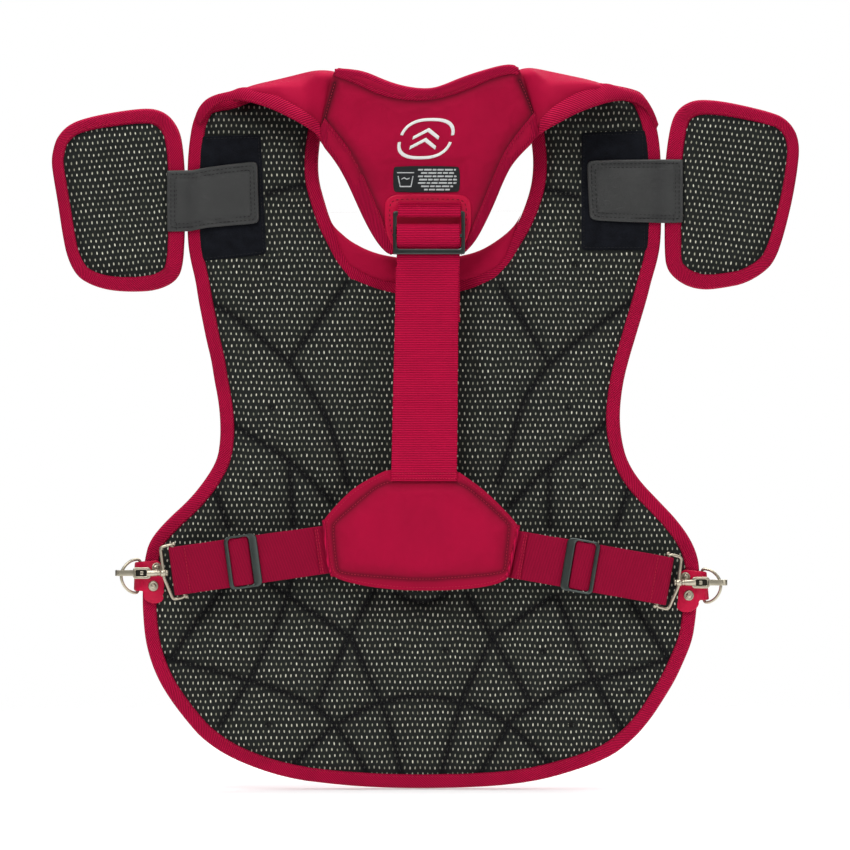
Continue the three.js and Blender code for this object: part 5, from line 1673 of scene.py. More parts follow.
def shoulder_surface(crest, pad_end, across):
    """Grid of points: along the shoulder, and from the outer cover over the crest down
    the wearer's side."""
    turn = 0.45   # share of the way across where the crest lies
    top_x, top_z = crest.T
    end_x, end_z = pad_end.T
    near = neck_share(top_x)
    y0 = outer_y(top_x, top_z - 24) - 0.6
    z0 = top_z - 26.0
    y1 = shoulder_y(top_x, top_z - 7.0) * (1 - near)
    y1 = y1 + (yoke_front_y(top_x, top_z - 5.0) + 2.4) * near
    crest_y = (y0 + y1) / 2 + 2
    rows = []
    for j in range(across + 1):
        t = j / across
        if t < turn:
            # rising quarter, an ellipse
            a = t / turn * math.pi / 2
            x = top_x
            y = y0 + (crest_y - y0) * (1 - math.cos(a))
            z = z0 + (top_z - z0) * math.sin(a)
        else:
            a = (t - turn) / (1 - turn)
            b = np.minimum(1.0, a / (0.42 * (1 - near) + 0.13 * near))
            x = top_x + (end_x - top_x) * a
            z = top_z + (end_z - top_z) * a ** 1.05
            under = np.minimum(z, top_z - 2.0)
            g = neck_share(x)
            surface = shoulder_y(x, under) * (1 - g) + (yoke_front_y(x, under) + 2.4) * g
            y = crest_y + (surface - crest_y) * np.sin(b * math.pi / 2)
        rows.append(np.c_[x, y, z])
    return np.stack(rows, 1)


def shoulder_pad(side):
    k = SIDES[side]
    along, across = 52, 30
    crest = soft_line(SHOULDERS[side]["crest"], count=along)
    pad_end = soft_line(SHOULDERS[side]["pad_end"], count=along)
    pad_end[:, 1] -= 5.5 * smooth((1 - np.linspace(0, 1, along + 1)) / 0.15)
    skin = shoulder_surface(crest, pad_end, across)

    # puffs, a fold near the neck, and wrinkles, all on the wearer's side
    t = np.linspace(0, 1, across + 1)[None, :]
    f = np.linspace(0, 1, along + 1)[:, None]
    x, z = skin[:, :, 0], skin[:, :, 2]
    wearer = smooth((t - 0.45) / 0.2)
    swell = 3.6 * np.sin(np.pi * np.clip((t - 0.5) / 0.5, 0, 1)) ** 0.8
    swell = swell * smooth((0.93 - f) / 0.16) * smooth(f / 0.2)
    fold = -1.0 * bell(f - 0.9, 0.035) * wearer
    wrinkles = 0.8 * noise(x, z * 1.3, 13, 71 + k) + 0.3 * noise(x, z, 6, 72 + k)
    skin[:, :, 1] -= swell + fold + wearer * wrinkles * smooth((t - 0.5) / 0.2)

    # inner skin, 3 mm towards the middle of the pad
    normal = np.cross(np.gradient(skin, axis=0), np.gradient(skin, axis=1))
    normal /= np.maximum(1e-9, np.linalg.norm(normal, axis=2))[:, :, None]
    middle = np.array([x.mean(), -18.0, 528])
    inward = np.sign(((middle - skin) * normal).sum(2).mean())
    inner = skin + normal * inward * 3.0
    verts, faces = strip(np.concatenate([skin, inner[:, ::-1]], 1))
    arc = arc_length(skin[along // 2])
    cloth = np.c_[np.repeat(x[:, 0], 2 * len(arc)), np.tile(np.r_[arc, arc[::-1]], along + 1)]
    # painted shade at the fold near the neck, along the pad's lower edge and at its neck end
    shade = 0.4 * bell(f - 0.9, 0.02) * wearer + 0.3 * bell(t - 1.0, 0.08)
    shade = shade + 0.3 * bell(f - 1.0, 0.03)
    shade = np.concatenate([shade, shade[:, ::-1]], 1).ravel()
    # the pad is sewn to the panel at its outer corner; these arguments of a blend between the panel
    # and the yoke go to attach, which only bakes the transform
    x_neck, x_corner = x[-1].mean(), x[0].mean()
    swing = ("panel", "yoke", at(x_neck + 26 * np.sign(x_corner - x_neck), 13.6, 570),
             at(x_neck, -30, 570))
    arch = make(f"shoulder_arch_{side}", verts, faces, RED, cloth=cloth, shade=shade)
    attach(arch, swing, "crimson_fabric", f"shoulder_pad_{side}")

    # thin wall that closes the pad towards the neck
    section = skin[-1]
    wall = np.vstack([section, section + np.array([k * 1.2, 0, 0])])
    n = len(section)
    faces = [tuple(range(n)), tuple(range(2 * n - 1, n - 1, -1))]
    faces += [(i, (i + 1) % n, (i + 1) % n + n, i + n) for i in range(n)]
    end = make(f"shoulder_end_{side}", wall, faces, RED, cloth=wall[:, 1:], smooth_faces=False)
    attach(end, swing, "crimson_fabric")
    shoulder_tape(side, swing)


def shoulder_tape(side, swing):
    """A band on the wearer's side that leaves the panel's edge at the outer corner."""
    lift, sink, puff = 1.5, 1.0, 1.6
    high = soft_line(SHOULDERS[side]["tape_high"], count=90)
    low = soft_line(SHOULDERS[side]["tape_low"], count=90)

    def base_y(x, z):
        g = neck_share(x)
        return shoulder_y(x, z) * (1 - g) + (yoke_front_y(x, z) + 1.6) * g - 0.6

    shares = np.r_[0, 0.03, 0.1, np.linspace(0.2, 0.8, 7), 0.9, 0.97, 1]
    rows = []
    for t in shares:
        x, z = (high * (1 - t) + low * t).T
        r = rounded(min(t, 1 - t), 0.18)
        y = base_y(x, z) - lift * r - puff * math.sin(math.pi * t) + (sink if r == 0 else 0)
        rows.append(np.c_[x, y, z])
    for t in shares[-2:0:-1]:
        x, z = (high * (1 - t) + low * t).T
        rows.append(np.c_[x, base_y(x, z) + sink + 0.05, z])
    verts, faces = strip(np.stack(rows, 1))
    width = np.linalg.norm(high - low, axis=1)
    v = np.r_[shares, shares[-2:0:-1]][None, :] * width[:, None]
    u = np.repeat(arc_length((high + low) / 2), len(rows))
    obj = make(f"shoulder_tape_{side}", verts, faces, TWILL, cloth=np.c_[u, v.ravel()])
    attach(obj, swing, "twill_tape")
    threads = stitches(f"shoulder_tape_stitches_{side}", [high * 0.16 + low * 0.84],
                       lambda x, z: base_y(x, z) - 2.15,
                       THREAD, pitch=3.0, length=2.1, radius=0.27)
    attach(threads, swing, "twill_tape")


for side in SIDES:
    shoulder_pad(side)

# ------------------------------------------------------------------ buckle patch, care label
# (x, z)
BUCKLE_PATCH = [
    (-32.32, 467.2), (-31.52, 470.8), (-29.28, 473.6), (-26.4, 475.36), (-20.8, 476.64),
    (25.6, 476.64), (31.2, 475.36), (34.08, 473.6), (36.16, 470.8), (37.12, 467.2),
    (36.96, 451.2), (34.4, 441.6), (28.8, 432), (-24, 432), (-29.6, 441.6), (-32.16, 451.2),
]
CARE_LABEL = [
    (-23.2, 498.72), (25.6, 498.72), (27.84, 496.48), (27.84, 480), (25.6, 477.76),
    (-23.2, 477.76), (-25.44, 480), (-25.44, 496.48),
]
# Rows of bars: top z, first x, last x, and which bar length comes first.
LABEL_ROWS = [
    (496.48, -5.6, 24.8, 0), (493.92, -3.2, 23.2, 3), (491.28, -5.6, 25.2, 0),
    (488.64, -4.8, 25.6, 4), (486.0, -5.6, 25.2, 1), (483.36, -3.2, 22.4, 4),
    (480.72, -0.8, 20.0, 2),
]
BAR_LENGTHS = [4.16, 6.08, 3.12, 5.12, 6.56, 3.68]
BAR_HEIGHT, BAR_GAP, SHORTEST_BAR = 1.3, 0.72, 1.2
# Wash-tub sign (x, z): the tub, a line over it, and a wavy line in it.
WASH_SIGN = [
    [(-21.92, 490.88), (-21.12, 490.88), (-19.52, 483.04), (-11.52, 483.04), (-9.92, 490.88),
     (-9.12, 490.88), (-10.88, 482.08), (-20.16, 482.08)],
    [(-22.4, 493.92), (-8.64, 493.92), (-8.64, 493.12), (-22.4, 493.12)],
    [(-18.8, 488.8), (-16.64, 489.92), (-14.4, 488.64), (-12.16, 489.76), (-12.16, 488.88),
     (-14.4, 487.76), (-16.64, 489.04), (-18.8, 487.92)],
]


def patch_y(x, z):
    return yoke_front_y(x, z) - 0.9


def label_y(x, z):
    return yoke_front_y(x, z) - 1.75


def buckle_patch():
    row_inset = 4.0
    rim = soft_ring(BUCKLE_PATCH, 1.6)
    filled = fill(rim, 2.2, rings=(0.35, 0.9, 1.6))
    x, z = filled.points.T
    depth = filled.depth
    y = patch_y(x, z) - 1.15 * rounded(depth, 1.2) - 0.35 * smooth((depth - 4.2) / 3)
    y = y + 0.45 * bell(depth - row_inset, 0.9)
    obj = sheet("buckle_patch", filled, y, patch_y(x, z) + 0.6, COATED_RED)
    attach(obj, "yoke", "coated_fabric", "strap_anchor_patch")
    ring = offset_in(rim, row_inset)
    row = opened(ring, int(np.argmin(ring[:, 1])), lambda p: p[:, 1] > 441.6)
    threads = stitches("buckle_patch_stitches", [resample(row, 1, closed=False)],
                       lambda a, b: patch_y(a, b) - 0.85,
                       THREAD_DARK, pitch=4.1, length=2.3, radius=0.38)
    attach(threads, "yoke", "coated_fabric")


def print_shapes(name, outlines, y_of, mat, thick=0.12, pitch=3.0):
    """Thin flat shapes printed on the yoke."""
    parts = []
    for outline in outlines:
        filled = fill(resample(outline, 0.8), pitch)
        y = y_of(*filled.points.T)
        parts.append(two_faced(filled, y - thick, y + 0.1))
    verts, faces = merge(parts)
    attach(make(name, verts, faces, mat, recalc=False), "yoke", "label")


def label_bars():
    """Plain bars in the place of lettering."""
    bars = []
    for top, x, end, index in LABEL_ROWS:
        bottom = top - BAR_HEIGHT
        while x < end - SHORTEST_BAR:
            right = min(end, x + BAR_LENGTHS[index % len(BAR_LENGTHS)])
            bars.append([(x, bottom), (right, bottom), (right, top), (x, top)])
            x = right + BAR_GAP
            index += 1
    return bars


def care_label():
    filled = fill(soft_ring(CARE_LABEL, 1.3, rounds=1), 2.4, rings=(0.3,))
    x, z = filled.points.T
    low = label_y(x, z) - 0.35 * rounded(filled.depth, 0.5)
    tag = sheet("care_tag", filled, low, label_y(x, z) + 2.2, LABEL_BLACK)
    attach(tag, "yoke", "label", "care_label")
    for name, shapes in (("care_tag_bars", label_bars()), ("care_tag_sign", WASH_SIGN)):
        print_shapes(name, shapes, lambda a, b: label_y(a, b) - LABEL_SINK, PRINT_GREY)


buckle_patch()
care_label()


# ------------------------------------------------------------------ solid helpers
def mesh_data(bm):
    """Vertices and faces of a bmesh, which is then freed."""
    verts = np.array([tuple(v.co) for v in bm.verts])
    bm.verts.index_update()
    faces = [tuple(v.index for v in f.verts) for f in bm.faces]
    bm.free()
    return verts, faces


def rounded_box(lo, hi, r):
    bm = bmesh.new()
    bmesh.ops.create_cube(bm, size=1.0)
    lo, hi = np.array(lo, float), np.array(hi, float)
    for v in bm.verts:
        v.co = Vector((lo + hi) / 2 + np.array(v.co) * (hi - lo))
    bmesh.ops.bevel(bm, geom=list(bm.edges), offset=r, segments=3, profile=0.6, affect="EDGES")
    return mesh_data(bm)


def rounded_prism(points, half, r):
    """A prism with rounded edges over a 2D outline, half thick to either side."""
    bm = bmesh.new()
    base = bm.faces.new([bm.verts.new((a, b, -half)) for a, b in points])
    extruded = bmesh.ops.extrude_face_region(bm, geom=[base])
    for item in extruded["geom"]:
        if isinstance(item, bmesh.types.BMVert):
            item.co.z = half
    bmesh.ops.recalc_face_normals(bm, faces=bm.faces)
    bmesh.ops.bevel(bm, geom=list(bm.edges), offset=r, segments=2, profile=0.6,
                    affect="EDGES", clamp_overlap=True)
    return mesh_data(bm)


def corner_loop(a0, a1, b0, b1, r):
    """Rounded rectangle with the same number of points for every radius."""
    out = []
    corners = ((a1 - r, b1 - r, 0), (a0 + r, b1 - r, 90), (a0 + r, b0 + r, 180),
               (a1 - r, b0 + r, 270))
    for centre_a, centre_b, start in corners:
        for i in range(7):
            t = math.radians(start + 90 * i / 6)
            out.append((centre_a + r * math.cos(t), centre_b + r * math.sin(t)))
    return np.array(out)


def ring_frame(outer, inner, low, high, bevel, crown):
    """Flat rounded frame between two matched loops; its thickness runs low..high."""
    middle, half = (low + high) / 2, (high - low) / 2
    # (share from the inner to the outer loop, share of the half thickness)
    section = (
        (0, -0.55), (0, 0.55), (bevel * 0.35, 0.87), (bevel, 1), (0.5, 1 + crown),
        (1 - bevel, 1), (1 - bevel * 0.35, 0.87), (1, 0.55), (1, -0.55),
        (1 - bevel * 0.35, -0.87), (1 - bevel, -1), (bevel, -1), (bevel * 0.35, -0.87))
    rows = [np.c_[inner * (1 - t) + outer * t, np.full(len(outer), middle + half * s)]
            for t, s in section]
    return strip(np.stack(rows, 1), True)


def lathe(profile, origin, axis, segments=20):
    """Turned part: profile is (distance along the axis, radius)."""
    axis = np.array(axis, float)
    axis /= np.linalg.norm(axis)
    ref = np.array((0, 0, 1.0)) if abs(axis[2]) < 0.8 else np.array((1.0, 0, 0))
    u = np.cross(ref, axis)
    u /= np.linalg.norm(u)
    w = np.cross(axis, u)
    verts, faces = [], []
    m = len(profile)
    for i in range(segments):
        a = TAU * i / segments
        spoke = u * math.cos(a) + w * math.sin(a)
        verts += [np.array(origin) + axis * s + spoke * max(r, 1e-3) for s, r in profile]
        k = (i + 1) % segments
        for j in range(m - 1):
            faces.append((i * m + j, k * m + j, k * m + j + 1, i * m + j + 1))
    faces.append(tuple(i * m for i in range(segments))[::-1])
    faces.append(tuple(i * m + m - 1 for i in range(segments)))
    return np.array(verts), faces


def ball(centre, r):
    arc = [math.pi * i / 12 for i in range(1, 12)]
    return lathe([(-r * math.cos(a), r * math.sin(a)) for a in arc], centre, (0, 0, 1), 16)


def wire_ring(points, r, corner, soft):
    """Closed round wire through corner points, which it rounds over a length corner and
    then softens a number of times."""
    rounded_path = []
    for i, b in enumerate(points):
        a, c = points[i - 1], points[(i + 1) % len(points)]
        share_a = min(corner, 0.45 * np.linalg.norm(a - b)) / np.linalg.norm(a - b)
        share_c = min(corner, 0.45 * np.linalg.norm(c - b)) / np.linalg.norm(c - b)
        start, end = b + (a - b) * share_a, b + (c - b) * share_c
        for t in np.linspace(0, 1, 6):
            rounded_path.append(start * (1 - t) ** 2 + 2 * b * t * (1 - t) + end * t * t)
    q = np.vstack([rounded_path, rounded_path[:1]])
    s = arc_length(q)
    t = np.linspace(0, s[-1], int(s[-1] / 0.7), endpoint=False)
    q = np.stack([np.interp(t, s, q[:, j]) for j in range(3)], 1)
    for _ in range(soft):
        q = (np.roll(q, 1, 0) + 2 * q + np.roll(q, -1, 0)) / 4
    return tube(q, r, 16, closed=True)


def webbing(name, path, width_dir, half, thick, mat, notch, pitch, shift=None, start=0.0):
    """Woven strap along a 3D centre line, its width along width_dir. half (half width) and
    shift (sideways) may be functions of the share of its length; notch waves the edges by
    the rib pitch, and start is where the ribs begin."""
    p = np.asarray(path, float)
    d = arc_length(p)
    t = np.linspace(0, d[-1], int(d[-1] / 0.46) + 1)
    p = np.stack([np.interp(t, d, p[:, k]) for k in range(3)], 1)
    tangent = np.gradient(p, axis=0)
    tangent /= np.linalg.norm(tangent, axis=1)[:, None]
    wide = np.array(width_dir, float)
    wide /= np.linalg.norm(wide)
    normal = np.cross(tangent, wide)
    normal /= np.linalg.norm(normal, axis=1)[:, None]
    half_width = half(t / d[-1]) if callable(half) else np.full(len(t), float(half))
    half_width = half_width + notch * np.cos(TAU * (t + start) / pitch)
    sideways = shift(t / d[-1]) if shift is not None else np.zeros(len(t))
    # section: share of the half width, share of the half thickness
    across = [-1, -0.99, -0.965] + list(np.linspace(-0.86, 0.86, 11)) + [0.965, 0.99, 1]
    height = [0, 0.75, 1] + [1] * 11 + [1, 0.75, 0]
    section = list(zip(across, height))
    section += [(a, -h) for a, h in section[-2:0:-1]]
    rows = [p + wide * (a * half_width + sideways)[:, None] + normal * (h * thick / 2)
            for a, h in section]
    verts, faces = strip(np.stack(rows, 1))
    u = np.array([a for a, _ in section])[None, :] * half_width[:, None]
    return make(name, verts, faces, mat, cloth=np.c_[u.ravel(), np.repeat(t + start, len(rows))])


# ------------------------------------------------------------------ back buckle and strap
WIRE_RADIUS = 1.5
BACK_WEB_THICK = 1.4
BACK_WEB_PITCH = 1.85
BACK_STRAP_Y = -28.6


def wire_buckle():
    x0, x1 = BUCKLE_X
    outer = corner_loop(x0, x1, BAR_LOW - 2.25, BAR_TOP + 1.5, 1.8)
    inner = corner_loop(x0 + 3.1, x1 - 3.1, BAR_LOW + 2.2, BAR_TOP - 1.2, 2.2)
    verts, faces = ring_frame(outer, inner, -WIRE_RADIUS, WIRE_RADIUS, bevel=0.18, crown=0.05)
    rim = (np.c_[verts[:, 0], BUCKLE_Y + verts[:, 2], verts[:, 1]], faces)
    xs = np.linspace(x0 + 1.2, x1 - 1.2, 24)
    bar = tube(np.c_[xs, np.full(24, BUCKLE_Y), np.full(24, BAR_MID)], WIRE_RADIUS, 14)
    attach(solid("wire_buckle", [rim, bar], GUNMETAL), "back_strap", "gunmetal", "back_buckle")


def buckle_loop():
    """Webbing that holds the buckle's top bar, with a folded head above it."""
    x = 3.5
    radius = WIRE_RADIUS + 0.4 + BACK_WEB_THICK / 2
    front, back = BUCKLE_Y - radius, BUCKLE_Y + radius
    path = [(x, front + 0.3, BAR_TOP + 4.6), (x, front, BAR_TOP + 2.5), (x, front, BAR_TOP + 0.6)]
    path += [(x, BUCKLE_Y - radius * math.cos(a), BAR_TOP - radius * math.sin(a))
             for a in np.linspace(0.15, math.pi - 0.15, 12)]
    path += [(x, back, BAR_TOP + 2), (x, back + 0.3, BAR_TOP + 9)]
    loop = webbing("buckle_webbing_loop", path, (1, 0, 0), 25.1, BACK_WEB_THICK, WEB_BACK,
                   notch=0.12, pitch=BACK_WEB_PITCH)
    attach(loop, "yoke", "elastic_webbing", "buckle_loop")
    head = rounded_box((BUCKLE_X[0] + 4.4, front - 0.3, BAR_TOP + 3.6),
                       (BUCKLE_X[1] - 3.8, front + 3.6, BAR_TOP + 5.2), 0.6)
    attach(solid("buckle_loop_head", [head], WEB_BACK), "yoke", "elastic_webbing")


def back_strap():
    """Elastic from the back pad up to the buckle's middle bar, over it and down behind."""
    y, y_behind = BACK_STRAP_Y, -26.7
    end = STRAP_END_Z
    path = [(0, y - 0.1, end), (0, y - 0.25, end + 1.0)]
    path += [(0, y - 0.25 * math.exp(-(z - end) / 12), z)
             for z in np.linspace(end + 4, BAR_LOW - 3, 60)]
    path += [(0, y, BAR_LOW), (0, y - 0.5, BAR_LOW + 3.2), (0, -32.6, BAR_MID - 5.2),
             (0, -33.9, BAR_MID - 1.5)]
    path += [(0, BUCKLE_Y - 2.9 * math.cos(a), BAR_MID + 1.0 + 7.6 * math.sin(a))
             for a in np.linspace(0.1, math.pi * 0.86, 14)]
    path += [(0, y_behind - 0.6, BAR_MID - 4), (0, y_behind, BAR_MID - 9), (0, y_behind, 374.4)]
    path = chaikin(path, 1, closed=False)
    d = arc_length(path)

    def z_at(share):
        return np.interp(share, d / d[-1], path[:, 2])

    def sway(share):
        leaning = -0.8 + (z_at(share) - end) / (BAR_LOW - end) * 2.9
        return np.where(share < 0.6, leaning, 2.6)

    def half(share):
        return 26.2 - 1.0 * smooth((z_at(share) - end) / 180)

    strap = webbing("elastic_back_strap", path, (1, 0, 0), half, BACK_WEB_THICK, WEB_BACK,
                    notch=0.17, pitch=BACK_WEB_PITCH, shift=sway)
    attach(strap, "back_strap", "elastic_webbing", "back_strap")


wire_buckle()
buckle_loop()
back_strap()

# ------------------------------------------------------------------ back pad
# (x, z), counter-clockwise from the top left
BACK_PAD = [
    (-28, 257.04), (-37.6, 252.8), (-55.2, 243.2), (-68, 231.52), (-80.8, 216.8),
    (-81.6, 212.4), (-79.6, 190.72), (-76, 172.8), (-68, 168), (-48.8, 163.2), (-23.2, 160),
    (-1.6, 159.44), (27.2, 160), (52.8, 163.2), (64.8, 168), (67.2, 171.6), (71.2, 190.72),
    (76, 208.8), (72, 215.2), (59.2, 228.8), (46.4, 240.8), (33.6, 250), (23.2, 257.04),
]
BACK_PAD_SEAM = [
    (-28, 247.2), (-39.2, 242.4), (-47.6, 235.44), (-56.48, 228), (-73.12, 213.28),
    (-73.68, 210.4), (-72.48, 193.6), (-70.24, 176.4), (-68, 174.4), (-58.72, 172.56),
    (-32.8, 170.4), (-3.2, 168.32), (27.2, 170.4), (52, 172.56), (61.6, 174.4), (64, 176.4),
    (65.6, 193.6), (67.52, 210.4), (66.72, 213.28), (50.88, 228), (42, 235.44),
    (33.6, 242.4), (22.4, 247.2),
]
# Piping lines (x, z) at both short ends.
PIPING = {
    "left": [(-81.12, 215.2), (-80.16, 210.4), (-78.72, 196), (-77.2, 180.8), (-74.08, 171.52)],
    "right": [(74.88, 212), (74.08, 207.2), (70.72, 192), (68.32, 179.2), (65.28, 170.88)],
}


def off_strap(x):
    """Distance across from the back strap's centre line at the pad."""
    return np.abs(x + 0.8)


def pad_bulge(x):
    return 0.0016 * (x + 2.8) ** 2 * 0.32


def back_pad_shell(rim, seam):
    """Returns the height function of the shell's wearer-side face."""
    filled = fill(rim, 2.0, rings=(0.4, 1.1, 2.2),
                  lines=[np.vstack([seam, seam[:1]])])
    points = filled.points
    x, z = points.T
    depth = filled.depth
    within = inside(seam, points)
    to_seam = seg_dist(points, closed_segs(seam))
    relief = np.where(within, 4.6 * ditch(to_seam, 6.5, 1.3), 0.75 * ditch(to_seam, 1.8, 2))
    relief += within * smooth(to_seam / 8) * (
        0.5 * noise(x, z, 27, 81) + 0.2 * noise(x, z, 10, 82))
    relief += within * 0.35 * bell(to_seam - 5, 4.5) * noise(x, z, 4.6, 83)
    # pressed flat under the strap's sewn end
    relief = relief * smooth((STRAP_END_Z - z) / 10 + smooth((off_strap(x) - 27.5) / 9))
    front = PAD_FRONT + 0.5 - relief
    near_strap = (off_strap(x) < 31) & (z > STRAP_END_Z - 6)
    pinned = (depth < 4) | (to_seam < 1.2) | ~within | near_strap
    front = relax(filled, front, pinned, pressure=-0.8, shrink=-0.012, below=2.4, above=0.5)
    front = front + 1.5 * (1 - rounded(depth, 2.0))
    back = PAD_FRONT + 12.1 - pad_bulge(x) - 4.5 * (1 - rounded(depth, 7))
    # painted shade in the seam groove round the padded middle, kept off the strap's sewn end
    shade = 0.45 * bell(to_seam, 1.8) + 0.22 * bell(to_seam, 6)
    shade = shade * smooth((STRAP_END_Z + 1 - z) / 3 + smooth((off_strap(x) - 27) / 3))
    shell = sheet("back_pad_shell", filled, front, np.maximum(back, front + 1.5), RED, shade)
    attach(shell, "back_pad", "crimson_fabric", "back_pad_cover", "back_pad_foam")
    return drape(shell)


def back_pad_lining(rim):
    inset = 2.5
    filled = fill(resample(offset_in(rim, inset), 2.4), 3.4, rings=(0.5,))
    x = filled.points[:, 0]
    y = PAD_FRONT + 12.4 - pad_bulge(x) - 3.2 * (1 - rounded(filled.depth + inset, 7))
    lining = sheet("back_pad_mesh", filled, y - 0.4, y + 1.2 * rounded(filled.depth, 2) + 0.2, MESH)
    attach(lining, "back_pad", "mesh_fabric", "back_pad_lining")


def back_pad():
    rim = counter_clockwise(soft_ring(BACK_PAD, 1.8))
    seam = soft_ring(BACK_PAD_SEAM, 2.0, rounds=1)
    face = back_pad_shell(rim, seam)
    back_pad_lining(rim)

    # both rows stop beside the strap's sewn end
    path = opened(seam, int(np.argmax(seam[:, 1] - 0.001 * seam[:, 0])),
                  lambda p: (off_strap(p[:, 0]) > 26.8) | (p[:, 1] < STRAP_END_Z - 2))
    threads = stitches("back_pad_stitches", [path], face, THREAD,
                       pitch=2.6, length=1.9, radius=0.27, lift=0.12)
    attach(threads, "back_pad", "crimson_fabric")
    ring = offset_in(rim, 2.6)
    path = opened(ring, int(np.argmax(ring[:, 1])),
                  lambda p: ~((off_strap(p[:, 0]) < 27.5) & (p[:, 1] > STRAP_END_Z - 4)))
    threads = stitches("back_pad_rim_stitches", [path], face, THREAD,
                       pitch=2.6, length=1.8, radius=0.26, lift=0.12)
    attach(threads, "back_pad", "crimson_fabric")
    for name, rise in (("upper", 5.9), ("lower", 1.6)):
        z = STRAP_END_Z + rise
        path = resample([(-26.0, z), (24.6, z)], 1, closed=False)
        threads = stitches(f"strap_end_stitches_{name}", [path],
                           lambda a, b: np.full(np.shape(a), -29.5),
                           THREAD, pitch=2.2, length=1.6, radius=0.34, lift=0.12)
        attach(threads, "back_pad", "elastic_webbing")
    for side, line in PIPING.items():
        x, z = soft_line(line, 1.4).T
        cord = tube(np.c_[x, face(x, z) - 0.5, z], 1.35, 10)
        attach(solid(f"back_pad_piping_{side}", [cord], TWILL), "back_pad", "crimson_fabric")


back_pad()

# ------------------------------------------------------------------ side straps
# start, end: centre line from the back pad to the hook frame's bar. eye: (x, z) of the
# hook frame's eye. ring: (x, z) of the D-ring. crown_x: the snap hook's outer end.
# tilt: degrees the hook frame leans.
SIDE_STRAPS = {
    "left": dict(
        start=(-82.72, -21, 192), end=(-196.4, -46.4323896, 176), slider_x=-146.24,
        eye=(-208.48, 174), ring=(-228.18, 171.12), crown_x=-242.08, tilt=13.9),
    "right": dict(
        start=(75.68, -21, 188), end=(189.76, -43.8380870, 168.16), slider_x=124.8,
        eye=(202.4, 166.4), ring=(221.94, 163.44), crown_x=236.24, tilt=14.2),
}
SIDE_WEB = dict(mat=WEB_SIDE, notch=0.08, pitch=1.3)
SIDE_WEB_HALF = 19.2


def side_strap(side):
    k = SIDES[side]
    spec = SIDE_STRAPS[side]
    start = np.array(spec["start"], float)
    run = np.array(spec["end"]) - start
    length = np.linalg.norm(run)
    along = run / length
    level = math.hypot(along[0], along[1])
    front = k * np.array([along[1], -along[0], 0.0]) / level
    up = np.array([-along[0] * along[2] / level, -along[1] * along[2] / level, level])
    slider = (spec["slider_x"] - start[0]) / along[0]

    def spot(s, proud, w=0.0):
        """Point s along the strap, proud towards the wearer and w up its width."""
        return start + along * s + front * proud + up * w

    # front run, a little wavy, round the bar and back
    turn = 2.6
    path = []
    for s in np.linspace(-7.0, length - 2, 56):
        envelope = math.sin(math.pi * min(1, max(0, s / length)))
        path.append(spot(s, turn + 0.35 * math.sin(s / 9.0 + 0.5 * k) * envelope))
    path += [spot(length + 2.2 + turn * math.cos(a), turn * math.sin(a))
             for a in np.linspace(math.pi / 2, -math.pi / 2, 14)]
    path += [spot(s, -turn) for s in np.linspace(length - 4, 26, 20)]
    obj = webbing(f"side_webbing_{side}", path, up, SIDE_WEB_HALF, 1.6, **SIDE_WEB)
    attach(obj, f"side_strap_{side}", "elastic_webbing", f"side_strap_{side}")

    # turned end against the back pad
    path = [spot(s, 4.0 + 0.15 * math.sin(s)) for s in np.linspace(-3.0, 4.6, 10)]
    obj = webbing(f"side_webbing_end_{side}", path, up, 19.0, 1.5, **SIDE_WEB)
    attach(obj, f"side_strap_{side}", "elastic_webbing")

    # stitch rows across the strap
    parts = []
    for s, proud in ((2.2, 4.75), (4.0, 4.75), (length - 6.5, 3.5)):
        for w in np.arange(-17.5, 17.6, 2.6):
            a, b = spot(s, proud, w - 0.9), spot(s, proud, w + 0.9)
            parts.append(tube(np.array([a, (a + b) / 2 + front * 0.15, b]), 0.3, 6))
    attach(solid(f"side_webbing_stitches_{side}", parts, THREAD),
           f"side_strap_{side}", "elastic_webbing")

    # webbing that rises through the slider's window
    path = [spot(slider + s, 3.0 + 1.9 * math.sin(math.pi * (s + 6.6) / 16.6) ** 0.7)
            for s in np.linspace(-6.5, 9.9, 22)]
    obj = webbing(f"slider_webbing_{side}", path, up, 19.0, 1.3, start=slider, **SIDE_WEB)
    attach(obj, f"side_slider_{side}", "elastic_webbing")

    # slider: window frame, two end posts and the bar behind, as (along, proud, up)
    w, face = SIDE_WEB_HALF, 3.9
    outer = corner_loop(-13.4, 13.4, -w - 2.1, w + 2.1, 4.4)
    inner = corner_loop(-6.8, 10.2, -w - 0.5, w + 0.5, 3.0)
    verts, faces = ring_frame(outer, inner, face, face + 2.2, bevel=0.22, crown=0.12)
    parts = [
        (verts[:, [0, 2, 1]], faces),
        rounded_box((-2, -1.2, w + 0.5), (4, face + 1.8, w + 2.1), 0.4),
        rounded_box((-2, -1.2, -w - 2.1), (4, face + 1.8, -w - 0.5), 0.4),
        rounded_box((-1.6, -1.2, -w - 2.0), (2.6, 1.0, w + 2.0), 0.5),
    ]
    parts = [(np.array([spot(slider + a, b, c) for a, b, c in part_verts]), part_faces)
             for part_verts, part_faces in parts]
    attach(solid(f"slider_frame_{side}", parts, GUNMETAL),
           f"side_slider_{side}", "gunmetal", f"side_slider_{side}")


for side in SIDES:
    side_strap(side)

